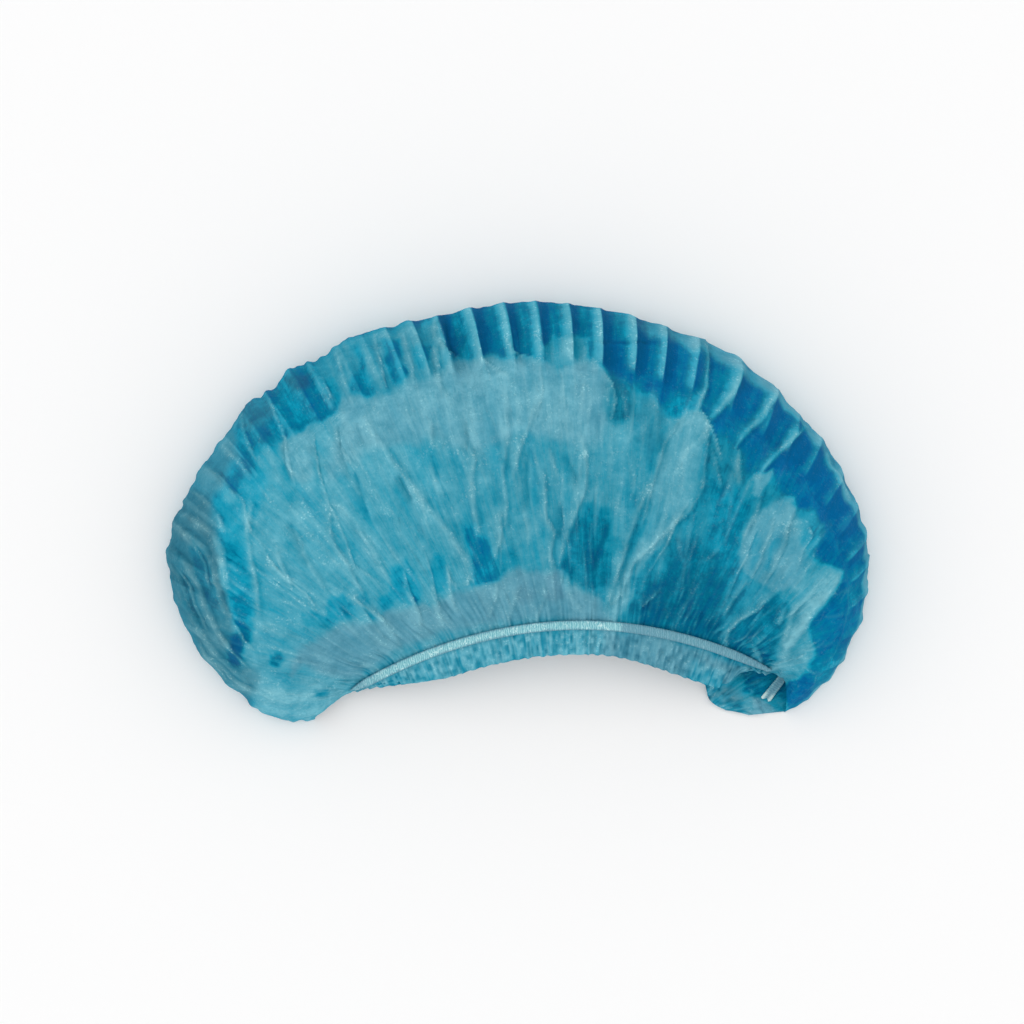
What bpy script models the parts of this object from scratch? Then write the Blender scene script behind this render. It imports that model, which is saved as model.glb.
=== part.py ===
"""A disposable bouffant cap of pleated nonwoven fabric, lying on its side as it is laid on a table.

The crown is one hollow wall of fabric. It runs from the front hem over the puffed front, round the outer
fold and back along the flat underside to the back hem, and its mouth opens towards -Y. Every pleat starts
at the gathered rim and fans out to the outer fold. A crimped elastic lies on each rim. At the left end the
two rims meet, and at the right end they stand apart round a pocket, where the elastic's cut end hangs.
"""

import math
import random
from collections import namedtuple

import bmesh
import bpy
from mathutils import Vector

# Driving dimensions, in metres
CAP_LENGTH = 0.300
CAP_DEPTH = 0.179
CROWN_HEIGHT = 0.062
WALL = 0.0012
PLEAT_COUNT = 36
PLEAT_DEPTH = 0.0046
HEM_WIDTH = 0.0098
ELASTIC_WIDTH = 0.0045
ELASTIC_THICKNESS = 0.0008
SEAT_GAP = 0.0003
EDGE_CLEARANCE = 0.0006
FRONT_RIM_RISE = 0.0270
BACK_RIM_SETBACK = 0.026
FRONT_RIM_LIFT = 0.021
BACK_RIM_LIFT = 0.0015
CORNER_GAP = 0.0036

# The front rim's slope towards the crown, how full its arch is, and what fixes the pleats' small variation.
RIM_SLOPE = 0.25
RIM_FULLNESS = 0.8
PLEAT_SHIFT = 0.10
PLEAT_STRENGTHS = (0.75, 1.15)
PLEAT_SEED = 11

# The outline and the crown's section at stations round the outer fold, from the left end to the right end.
# across is measured from the middle in shares of CAP_LENGTH, and up from the lobes in shares of CAP_DEPTH.
# rim says how far along the rim that station's pleats start, height is the crown's height there in shares
# of CROWN_HEIGHT, and pleat is the pleats' depth there in shares of PLEAT_DEPTH.
Station = namedtuple("Station", "across up rim height pleat")
STATIONS = [
    Station(across=-0.292, up=0.008, rim=0.000, height=0.20, pleat=0.10),
    Station(across=-0.338, up=0.002, rim=0.012, height=0.27, pleat=0.20),
    Station(across=-0.398, up=0.064, rim=0.026, height=0.40, pleat=0.35),
    Station(across=-0.454, up=0.170, rim=0.045, height=0.53, pleat=0.45),
    Station(across=-0.492, up=0.300, rim=0.070, height=0.64, pleat=0.50),
    Station(across=-0.498, up=0.455, rim=0.100, height=0.74, pleat=0.55),
    Station(across=-0.458, up=0.585, rim=0.145, height=0.82, pleat=0.65),
    Station(across=-0.387, up=0.750, rim=0.215, height=0.90, pleat=0.85),
    Station(across=-0.306, up=0.852, rim=0.275, height=0.95, pleat=0.95),
    Station(across=-0.215, up=0.930, rim=0.340, height=0.98, pleat=1.00),
    Station(across=-0.115, up=0.968, rim=0.415, height=1.00, pleat=1.00),
    Station(across=-0.010, up=1.000, rim=0.490, height=1.00, pleat=1.00),
    Station(across=0.097, up=0.992, rim=0.565, height=1.00, pleat=1.00),
    Station(across=0.197, up=0.950, rim=0.640, height=0.99, pleat=1.00),
    Station(across=0.303, up=0.875, rim=0.715, height=0.96, pleat=1.00),
    Station(across=0.397, up=0.742, rim=0.790, height=0.90, pleat=1.00),
    Station(across=0.462, up=0.595, rim=0.855, height=0.82, pleat=0.95),
    Station(across=0.497, up=0.420, rim=0.905, height=0.73, pleat=0.85),
    Station(across=0.493, up=0.275, rim=0.940, height=0.63, pleat=0.70),
    Station(across=0.460, up=0.145, rim=0.965, height=0.50, pleat=0.55),
    Station(across=0.417, up=0.062, rim=0.985, height=0.35, pleat=0.35),
    Station(across=0.381, up=0.024, rim=1.000, height=0.21, pleat=0.15),
]

# Where each rim ends, in the same shares. The two meet at the left, and at the right the back rim reaches
# further out, so that a pocket opens between them.
FRONT_CORNERS = [(-0.252, 0.060), (0.362, 0.088)]
BACK_CORNERS = [(-0.252, 0.060), (0.346, 0.018)]

# One pleat across its width: a long slope up to its crest, then a steep drop into the next valley.
PleatPoint = namedtuple("PleatPoint", "share height")
PLEAT_SHAPE = [
    PleatPoint(share=0.00, height=-1.0),
    PleatPoint(share=0.36, height=0.1),
    PleatPoint(share=0.68, height=1.0),
]

# The rows of the fabric from the front hem to the back hem. along is the share of the way from the rim to
# the outer fold, clear the least distance from that fold in walls, hem the share of the hem's width beyond
# the elastic, height the share of the station's crown height, facing the direction in degrees in which a
# pleat stands out (90 is up, 0 is outwards), and pleat the share of the station's pleat depth.
Row = namedtuple("Row", "name side along clear hem height facing pleat")
ROWS = [
    Row("front_hem_edge", "front", 0.00, 0.0, 1.00, 0.00, 70, 0.46),
    Row("front_hem_middle", "front", 0.00, 0.0, 0.45, 0.00, 70, 0.30),
    Row("front_elastic_low", "front", 0.00, 0.0, 0.00, 0.00, 70, 0.00),
    Row("front_elastic_high", "front", 0.00, 0.0, 0.00, 0.00, 70, 0.00),
    Row("gather", "front", 0.13, 0.0, 0.00, 0.27, 75, 0.45),
    Row("slope", "front", 0.25, 0.0, 0.00, 0.55, 80, 0.60),
    Row("panel_low", "front", 0.41, 0.0, 0.00, 0.80, 90, 0.60),
    Row("panel_middle", "front", 0.59, 0.0, 0.00, 0.93, 90, 0.60),
    Row("panel_edge", "front", 0.775, 2.9, 0.00, 0.88, 85, 0.65),
    Row("crease", "front", 0.800, 2.6, 0.00, 0.79, 75, 0.80),
    Row("band_high", "front", 0.860, 2.0, 0.00, 0.72, 70, 1.00),
    Row("band_middle", "front", 0.935, 1.4, 0.00, 0.56, 55, 1.00),
    Row("shoulder", "front", 0.985, 0.7, 0.00, 0.36, 30, 0.90),
    Row("fold", "front", 1.000, 0.0, 0.00, 0.19, 0, 0.60),
    Row("heel", "back", 0.985, 0.9, 0.00, 0.05, -30, 0.35),
    Row("sole_edge", "back", 0.930, 3.0, 0.00, 0.00, -90, 0.00),
    Row("sole_outer", "back", 0.800, 4.5, 0.00, 0.00, -90, 0.00),
    Row("sole_middle", "back", 0.200, 6.5, 0.00, 0.00, -90, 0.00),
    Row("sole_inner", "back", 0.120, 7.2, 0.00, 0.00, -90, 0.00),
    Row("back_elastic_high", "back", 0.00, 0.0, 0.00, 0.00, -90, 0.00),
    Row("back_elastic_low", "back", 0.00, 0.0, 0.00, 0.00, -90, 0.00),
    Row("back_hem_edge", "back", 0.00, 0.0, 1.00, 0.00, 90, 0.30),
]

# The larger folds of the front, each along the pleats. at is its middle and half_width its half width, both
# counted in stations, start and stop are its ends in shares of the way from the rim to the outer fold, and
# rise is its height in shares of CROWN_HEIGHT.
Fold = namedtuple("Fold", "name at half_width start stop rise")
FOLDS = [
    Fold("left_streak", 6.2, 0.40, 0.10, 0.72, 0.045),
    Fold("left_valley", 7.0, 0.55, 0.20, 0.80, -0.050),
    Fold("shoulder_streak", 8.1, 0.40, 0.15, 0.75, 0.050),
    Fold("overlap", 9.1, 0.90, 0.72, 1.05, 0.060),
    Fold("deep_fold", 10.15, 0.35, 0.70, 1.02, -0.110),
    Fold("middle_streak", 11.6, 0.35, 0.10, 0.55, 0.040),
    Fold("long_rib", 13.9, 0.45, 0.08, 0.80, 0.070),
    Fold("right_hollow", 15.6, 1.10, 0.05, 0.60, -0.070),
    Fold("right_patch", 17.6, 0.80, 0.55, 0.85, 0.050),
]

# Shares of each rim: its hem grows from nothing at its start to its full width at the first, keeps it to
# the second and is gone at the third.
FRONT_HEM_SPAN = (0.24, 0.84, 0.91)
BACK_HEM_SPAN = (0.24, 0.93, 1.00)

# Shares of each rim: the stretch at a corner over which the rim turns into the ribs' own direction, and
# where the elastic starts and stops. The least widths are shares of the hem's and the stitched band's own.
CORNER_TURN = 0.13
ELASTIC_SPAN = (0.025, 0.965)
LEAST_HEM = 0.10
LEAST_BAND = 0.40

# The elastic's cut end lies in the pocket on the inner face of the back layer. across and up are in the
# same shares, and lift says how many walls higher than its seat each point stands.
EndPoint = namedtuple("EndPoint", "across up lift")
ELASTIC_END = [
    EndPoint(across=0.371, up=0.095, lift=1.0),
    EndPoint(across=0.362, up=0.074, lift=0.3),
    EndPoint(across=0.353, up=0.054, lift=0.0),
]
ELASTIC_END_SLANT = 0.5

# How many straight steps the outline is measured by between two stations.
STEPS_PER_STATION = 40

NONWOVEN_BLUE = (0.10, 0.46, 0.62, 1.0)
ELASTIC_PALE = (0.62, 0.80, 0.82, 1.0)

Column = namedtuple("Column", "place outline rim height pleat wave")


def clear_scene():
    """Remove what a new Blender file starts with."""
    for thing in list(bpy.data.objects):
        bpy.data.objects.remove(thing, do_unlink=True)


def smooth_step(share):
    """Ease from 0 to 1 with level ends."""
    share = min(max(share, 0.0), 1.0)
    return share * share * (3 - 2 * share)


def through(values, place):
    """A smooth curve through equally spaced values, read at a place counted in values."""
    last = len(values) - 1
    index = min(max(int(place), 0), last - 1)
    part = place - index
    before = values[max(index - 1, 0)]
    start = values[index]
    end = values[index + 1]
    after = values[min(index + 2, last)]
    return 0.5 * (
        2 * start
        + (end - before) * part
        + (2 * before - 5 * start + 4 * end - after) * part**2
        + (3 * start - before - 3 * end + after) * part**3
    )


def station_value(name, place):
    """One column of the station table at a place between its rows."""
    return through([getattr(station, name) for station in STATIONS], place)


def on_plan(across, up):
    """A point of the plan from its shares of the cap's length and depth, with the cap's middle at zero."""
    return Vector((across * CAP_LENGTH, (up - 0.5) * CAP_DEPTH))


def outline_at(place):
    """The outer fold's point on the plan at a place between stations."""
    return on_plan(station_value("across", place), station_value("up", place))


def places_by_length(shares):
    """The place between stations of each share of the outline's length, so that pleats are equally wide."""
    steps = STEPS_PER_STATION * (len(STATIONS) - 1)
    places = [step / STEPS_PER_STATION for step in range(steps + 1)]
    points = [outline_at(place) for place in places]
    lengths = [0.0]
    for start, end in zip(points, points[1:]):
        lengths.append(lengths[-1] + (end - start).length)
    found = []
    step = 0
    for share in shares:
        wanted = share * lengths[-1]
        while step < steps - 1 and lengths[step + 1] < wanted:
            step += 1
        part = (wanted - lengths[step]) / (lengths[step + 1] - lengths[step])
        found.append(places[step] + part / STEPS_PER_STATION)
    return found


def make_columns():
    """One column of the fabric for each point of each pleat, with its place, its height and its wave."""
    dice = random.Random(PLEAT_SEED)
    shares = []
    waves = []
    for pleat in range(PLEAT_COUNT):
        shift = dice.uniform(-PLEAT_SHIFT, PLEAT_SHIFT)
        strength = dice.uniform(*PLEAT_STRENGTHS)
        for point in PLEAT_SHAPE:
            moved = point.share + (shift if point.share > 0 else 0)
            shares.append((pleat + moved) / PLEAT_COUNT)
            waves.append(point.height * strength)
    shares.append(1.0)
    waves.append(0.0)
    columns = []
    for place, wave in zip(places_by_length(shares), waves):
        columns.append(
            Column(
                place=place,
                outline=outline_at(place),
                rim=min(max(station_value("rim", place), 0.0), 1.0),
                height=station_value("height", place) * CROWN_HEIGHT,
                pleat=station_value("pleat", place) * PLEAT_DEPTH / 2,
                wave=wave,
            )
        )
    return columns


def rim_point(share, side):
    """A point of the front or back rim on the plan: an arch between its corners, the back one set back."""
    corners = FRONT_CORNERS if side == "front" else BACK_CORNERS
    left, right = [on_plan(*corner) for corner in corners]
    rise = FRONT_RIM_RISE + (BACK_RIM_SETBACK if side == "back" else 0.0)
    return left.lerp(right, share) + Vector((0.0, rise * 4 * share * (1 - share)))


def rim_inwards(column, side):
    """The direction on the plan from the rim into the crown: square to the rim, or at a corner the rib's."""
    step = 0.01
    ahead = rim_point(min(column.rim + step, 1.0), side)
    behind = rim_point(max(column.rim - step, 0.0), side)
    run = (ahead - behind).normalized()
    rib = (column.outline - rim_point(column.rim, side)).normalized()
    turn = 1 - smooth_step(min(column.rim, 1 - column.rim) / CORNER_TURN)
    return Vector((-run.y, run.x)).lerp(rib, turn).normalized()


def rim_height(share, side):
    """The middle of the wall above the floor at the rim. The back rim leaves room for its elastic below."""
    under_elastic = ELASTIC_THICKNESS + SEAT_GAP + WALL / 2
    arch = math.sin(math.pi * share)
    if side == "back":
        return under_elastic + BACK_RIM_LIFT * arch
    closed = under_elastic + CORNER_GAP
    return closed + FRONT_RIM_LIFT * arch**RIM_FULLNESS


def hem_share(share, side):
    """How wide the hem is at a share of the rim, as a share of its full width."""
    grown, kept, gone = FRONT_HEM_SPAN if side == "front" else BACK_HEM_SPAN
    width = smooth_step(share / grown) * smooth_step((gone - share) / (gone - kept))
    return max(width, LEAST_HEM)


def band_share(share):
    """How wide the stitched band is at a share of the rim. It narrows in the corners' tight turns."""
    return LEAST_BAND + (1 - LEAST_BAND) * smooth_step(min(share, 1 - share) / (CORNER_TURN / 2))


def fold_rise(place, along):
    """How far the larger folds lift the front at a place between stations and a share of the way out."""
    rise = 0.0
    for fold in FOLDS:
        middle = (fold.start + fold.stop) / 2
        half_length = (fold.stop - fold.start) / 2
        across = smooth_step(1 - abs(place - fold.at) / fold.half_width)
        rise += fold.rise * across * smooth_step(2 - 2 * abs(along - middle) / half_length)
    return rise * CROWN_HEIGHT


def fabric_point(column, row):
    """The middle of the wall at one column and one row."""
    rim = rim_point(column.rim, row.side)
    inwards = rim_inwards(column, row.side)
    base = rim_height(column.rim, row.side)
    half_band = (ELASTIC_WIDTH / 2 + EDGE_CLEARANCE) * band_share(column.rim)
    slope = RIM_SLOPE if row.side == "front" else 0.0
    wave = column.wave * column.pleat * row.pleat
    if row.name.endswith("elastic_high"):
        reach = half_band
    elif row.name.endswith("elastic_low") or row.hem > 0:
        reach = -half_band - row.hem * HEM_WIDTH * hem_share(column.rim, row.side)
    else:
        reach = None
    if reach is None:
        rib = column.outline - rim
        outwards = rib.normalized()
        along = min(row.along, 1 - row.clear * WALL / rib.length)
        plan = rim + rib * along
        height = row.height * column.height
        if row.side == "front":
            height += (1 - along) ** 2 * base + fold_rise(column.place, along)
        height = max(height, WALL / 2)
    else:
        outwards = inwards if reach > 0 else -inwards
        plan = rim + inwards * reach
        height = base + slope * reach
        wave *= hem_share(column.rim, row.side)
    facing = math.radians(row.facing)
    plan = plan + outwards * wave * math.cos(facing)
    return Vector((plan.x, plan.y, max(height + wave * math.sin(facing), WALL / 2)))


def sheet_object(name, rows, thickness, material):
    """A wall of cloth through rows of points: a grid bent to the rows, with Solidify for its thickness."""
    across = len(rows[0])
    mesh = bpy.data.meshes.new(name)
    cloth = bmesh.new()
    bmesh.ops.create_grid(cloth, x_segments=across - 1, y_segments=len(rows) - 1, size=0.5)
    for vertex in cloth.verts:
        column = round((vertex.co.x + 0.5) * (across - 1))
        row = round((vertex.co.y + 0.5) * (len(rows) - 1))
        vertex.co = rows[row][column]
    cloth.to_mesh(mesh)
    cloth.free()
    mesh.shade_smooth()
    mesh.materials.append(material)
    made = bpy.data.objects.new(name, mesh)
    wall = made.modifiers.new("wall", "SOLIDIFY")
    wall.thickness = thickness
    wall.offset = 0.0
    return made


def make_material(name, colour, roughness):
    """A Principled material of one colour."""
    material = bpy.data.materials.new(name)
    material.use_nodes = True
    shader = material.node_tree.nodes["Principled BSDF"]
    shader.inputs["Base Color"].default_value = colour
    shader.inputs["Roughness"].default_value = roughness
    shader.inputs["Metallic"].default_value = 0.0
    return material


def make_crown(columns, material):
    """The whole hollow cap of fabric, with its pleats, crease, fold, flat underside and both hems."""
    rows = [[fabric_point(column, row) for column in columns] for row in ROWS]
    return sheet_object("crown", rows, WALL, material)


def row_named(name):
    """The row of the table with this name."""
    return next(row for row in ROWS if row.name == name)


def make_elastic(columns, side, material):
    """The crimped elastic along one rim, seated on the outer face of the fabric."""
    low = [fabric_point(column, row_named(side + "_elastic_low")) for column in columns]
    high = [fabric_point(column, row_named(side + "_elastic_high")) for column in columns]
    off_wall = WALL / 2 + SEAT_GAP + ELASTIC_THICKNESS / 2
    upwards = 1 if side == "front" else -1
    inset = EDGE_CLEARANCE / (ELASTIC_WIDTH + 2 * EDGE_CLEARANCE)
    start, stop = ELASTIC_SPAN
    last = len(columns) - 1
    edges = [[], []]
    for index, column in enumerate(columns):
        if not start < column.rim < stop:
            continue
        run = high[min(index + 1, last)] - high[max(index - 1, 0)]
        lift = run.cross(high[index] - low[index]).normalized() * off_wall * upwards
        edges[0].append(low[index].lerp(high[index], inset) + lift)
        edges[1].append(high[index].lerp(low[index], inset) + lift)
    return sheet_object(side + "_elastic", edges, ELASTIC_THICKNESS, material)


def make_elastic_end(material):
    """The cut end of the elastic, a short strip that lies in the pocket at the right."""
    seat = WALL + SEAT_GAP + ELASTIC_THICKNESS / 2
    half_width = Vector((1.0, -ELASTIC_END_SLANT, 0.0)).normalized() * ELASTIC_WIDTH / 2
    edges = [[], []]
    for point in ELASTIC_END:
        middle = on_plan(point.across, point.up).to_3d()
        middle.z = seat + point.lift * WALL
        edges[0].append(middle - half_width)
        edges[1].append(middle + half_width)
    return sheet_object("elastic_end", edges, ELASTIC_THICKNESS, material)


def main():
    clear_scene()
    cap = bpy.data.collections.new("bouffant_cap")
    bpy.context.scene.collection.children.link(cap)
    fabric = make_material("nonwoven", NONWOVEN_BLUE, 0.75)
    rubber = make_material("elastic", ELASTIC_PALE, 0.6)
    columns = make_columns()
    pieces = [
        make_crown(columns, fabric),
        make_elastic(columns, "front", rubber),
        make_elastic(columns, "back", rubber),
        make_elastic_end(rubber),
    ]
    for piece in pieces:
        cap.objects.link(piece)


main()
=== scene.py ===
"""The looks of a disposable bouffant cap of pleated nonwoven fabric, lying on its side on a pale floor.

The cap's fabric is one continuous sheet from the front hem over the puffed front, round the outer fold and
back along the flat underside to the back hem. It follows the same tables as the solid that it stands for.
"""

import math
import random

import bpy
import numpy as np
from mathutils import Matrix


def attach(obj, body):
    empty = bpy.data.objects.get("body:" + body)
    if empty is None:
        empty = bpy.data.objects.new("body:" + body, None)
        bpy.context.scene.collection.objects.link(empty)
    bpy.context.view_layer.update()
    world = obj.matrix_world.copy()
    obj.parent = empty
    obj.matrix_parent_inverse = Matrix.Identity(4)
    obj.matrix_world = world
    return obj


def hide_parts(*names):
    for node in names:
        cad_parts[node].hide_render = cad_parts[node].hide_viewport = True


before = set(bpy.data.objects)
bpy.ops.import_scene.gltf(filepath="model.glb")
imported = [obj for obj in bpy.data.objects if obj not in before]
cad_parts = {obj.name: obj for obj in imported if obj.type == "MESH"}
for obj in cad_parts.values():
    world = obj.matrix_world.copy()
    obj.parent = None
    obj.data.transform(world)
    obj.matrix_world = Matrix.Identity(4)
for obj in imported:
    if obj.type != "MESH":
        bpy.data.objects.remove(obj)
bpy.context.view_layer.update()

# The cap's own sizes, in metres
CAP_LENGTH = 0.300
CAP_DEPTH = 0.179
CROWN_HEIGHT = 0.062
WALL = 0.0012
PLEAT_DEPTH = 0.0046
HEM_WIDTH = 0.0098
ELASTIC_WIDTH = 0.0045
ELASTIC_THICKNESS = 0.0008
SEAT_GAP = 0.0003
EDGE_CLEARANCE = 0.0006
FRONT_RIM_RISE = 0.0270
BACK_RIM_SETBACK = 0.026
FRONT_RIM_LIFT = 0.021
BACK_RIM_LIFT = 0.0015
CORNER_GAP = 0.0036
RIM_SLOPE = 0.25
RIM_FULLNESS = 0.8
PLEAT_STRENGTHS = (0.75, 1.15)
PLEAT_SEED = 11
STEEP_SIDE = 0.24

# Stations round the outer fold: across, up, rim, height, pleat, in shares of the sizes above.
STATIONS = np.array([
    (-0.292, 0.008, 0.000, 0.20, 0.10),
    (-0.338, 0.002, 0.012, 0.27, 0.20),
    (-0.398, 0.064, 0.026, 0.40, 0.35),
    (-0.454, 0.170, 0.045, 0.53, 0.45),
    (-0.492, 0.300, 0.070, 0.64, 0.50),
    (-0.498, 0.455, 0.100, 0.74, 0.55),
    (-0.458, 0.585, 0.145, 0.82, 0.65),
    (-0.387, 0.750, 0.215, 0.90, 0.85),
    (-0.306, 0.852, 0.275, 0.95, 0.95),
    (-0.215, 0.930, 0.340, 0.98, 1.00),
    (-0.115, 0.968, 0.415, 1.00, 1.00),
    (-0.010, 1.000, 0.490, 1.00, 1.00),
    (0.097, 0.992, 0.565, 1.00, 1.00),
    (0.197, 0.950, 0.640, 0.99, 1.00),
    (0.303, 0.875, 0.715, 0.96, 1.00),
    (0.397, 0.742, 0.790, 0.90, 1.00),
    (0.462, 0.595, 0.855, 0.82, 0.95),
    (0.497, 0.420, 0.905, 0.73, 0.85),
    (0.493, 0.275, 0.940, 0.63, 0.70),
    (0.460, 0.145, 0.965, 0.50, 0.55),
    (0.417, 0.062, 0.985, 0.35, 0.35),
    (0.381, 0.024, 1.000, 0.21, 0.15),
])
FRONT_CORNERS = [(-0.252, 0.060), (0.380, 0.104)]
BACK_CORNERS = [(-0.252, 0.060), (0.346, 0.018)]

# Rows of the fabric from the front hem to the back hem: name, along, clear, hem, height, facing, the depth
# of the regular pleats there, and how many finer rows lead to the next one.
ROWS = [
    ("front_hem_edge", 0.00, 0.0, 1.00, 0.00, 70, 0.10, 5),
    ("front_hem_middle", 0.00, 0.0, 0.45, 0.00, 70, 0.10, 4),
    ("front_elastic_low", 0.00, 0.0, 0.00, 0.00, 70, 0.00, 3),
    ("front_elastic_high", 0.00, 0.0, 0.00, 0.00, 70, 0.00, 9),
    ("front_gather", 0.13, 0.0, 0.00, 0.27, 75, 0.03, 10),
    ("front_slope", 0.25, 0.0, 0.00, 0.55, 80, 0.03, 15),
    ("front_panel_low", 0.41, 0.0, 0.00, 0.80, 90, 0.03, 17),
    ("front_panel_middle", 0.59, 0.0, 0.00, 0.93, 90, 0.06, 18),
    ("front_panel_edge", 0.775, 2.9, 0.00, 0.88, 85, 0.34, 4),
    ("front_crease", 0.800, 2.6, 0.00, 0.79, 75, 0.62, 8),
    ("front_band_high", 0.860, 2.0, 0.00, 0.72, 70, 1.00, 8),
    ("front_band_middle", 0.935, 1.4, 0.00, 0.56, 55, 1.00, 7),
    ("front_shoulder", 0.985, 0.7, 0.00, 0.36, 30, 0.36, 4),
    ("front_fold", 1.000, 0.0, 0.00, 0.19, 0, 0.22, 4),
    ("back_heel", 0.985, 0.9, 0.00, 0.05, -30, 0.18, 4),
    ("back_sole_edge", 0.930, 3.0, 0.00, 0.00, -90, 0.00, 4),
    ("back_sole_outer", 0.800, 4.5, 0.00, 0.00, -90, 0.00, 12),
    ("back_sole_middle", 0.200, 6.5, 0.00, 0.00, -90, 0.00, 3),
    ("back_sole_inner", 0.120, 7.2, 0.00, 0.00, -90, 0.00, 3),
    ("back_elastic_high", 0.00, 0.0, 0.00, 0.00, -90, 0.00, 3),
    ("back_elastic_low", 0.00, 0.0, 0.00, 0.00, -90, 0.00, 5),
    ("back_hem_edge", 0.00, 0.0, 1.00, 0.00, 90, 0.10, 0),
]

# The larger folds along the pleats: middle and half width in stations, start and stop in shares of the way
# from the rim to the outer fold, and rise in shares of CROWN_HEIGHT.
FOLDS = [
    (6.2, 0.40, 0.10, 0.72, 0.045),
    (7.0, 0.55, 0.20, 0.80, -0.050),
    (8.1, 0.40, 0.15, 0.75, 0.050),
    (9.1, 0.90, 0.72, 1.05, 0.060),
    (10.15, 0.35, 0.70, 1.02, -0.110),
    (11.6, 0.35, 0.10, 0.55, 0.040),
    (13.9, 0.45, 0.08, 0.80, 0.070),
    (15.6, 1.10, 0.05, 0.60, -0.070),
    (17.6, 0.80, 0.55, 0.85, 0.050),
]

# Shares of each rim: its hem grows to its full width at the first, keeps it to the second and is gone at
# the third. The front hem then widens, and the back hem is narrower where it hides: start, run, how much.
FRONT_HEM_SPAN = (0.24, 0.865, 0.945)
BACK_HEM_SPAN = (0.24, 0.975, 1.02)
WIDER_HEM = (0.58, 0.24, 0.36)
HIDDEN_HEM = (0.885, 0.050, 0.50)
CORNER_TURN = 0.13
ELASTIC_SPAN = (0.025, 0.965)
LEAST_HEM = 0.10
LEAST_BAND = 0.40
# The elastic's cut end from the pocket's lip to its tip: across, up, lift.
ELASTIC_END = [(0.382, 0.116, 1.0), (0.366, 0.082, 0.3), (0.353, 0.054, 0.0)]
ELASTIC_END_SLANT = 0.5

# Where each pleat's crest meets the outer fold, in shares of the fold's length from the left end.
CREST_SHARES = [
    0.0000, 0.0215, 0.0470, 0.0726, 0.1004, 0.1271, 0.1606, 0.1822, 0.2044, 0.2239, 0.2500, 0.2766,
    0.2981, 0.3208, 0.3445, 0.3602, 0.3838, 0.4022, 0.4201, 0.4403, 0.4594, 0.4836, 0.5080, 0.5313,
    0.5551, 0.5784, 0.6052, 0.6287, 0.6536, 0.6886, 0.7217, 0.7470, 0.7706, 0.8006, 0.8270, 0.8502,
    0.8687, 0.8907, 0.9201, 0.9466, 0.9734, 1.0000,
]
# How deep and how plainly lapped each station's pleats are; the second table also sets how strong the pleats'
# painted shade and painted highlight are.
PLEAT_SHOW = np.array([
    0.5, 0.5, 0.5, 0.5, 0.5, 0.55, 0.5, 0.5, 0.45, 0.55, 1,
    1, 1, 0.9, 0.8, 0.75, 0.7, 0.65, 0.55, 0.5, 0.5, 0.5,
])
BAND_CONTRAST = np.array([
    0.1, 0.1, 0.15, 0.2, 0.2, 0.25, 0.3, 0.3, 0.25, 0.25, 0.9,
    1, 1, 0.9, 0.5, 0.4, 0.45, 0.4, 0.3, 0.25, 0.2, 0.1,
])

# Fine relief
COLUMN_COUNT = 600
STEPS_PER_STATION = 40
RIM_STEP = 0.01
STREAK_HEIGHT = 0.0008
PUCKER_HEIGHT = 0.0007
CREASE_HEIGHT = 0.0010
LEAST_HEIGHT = 0.0003
MILLIMETRES = 1000
CRIMP_PITCH = 0.0023
CRIMP_HEIGHT = 0.00035
RUFFLE_PITCH = 0.0052
RUFFLE_HEIGHT = 0.0012
EDGE_BUMPS = 0.0030
STREAK_SEED = 5
STREAK_COUNT = 420
EYE_HEIGHT = 2.438
SHARP_HEIGHT = 0.020
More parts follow.
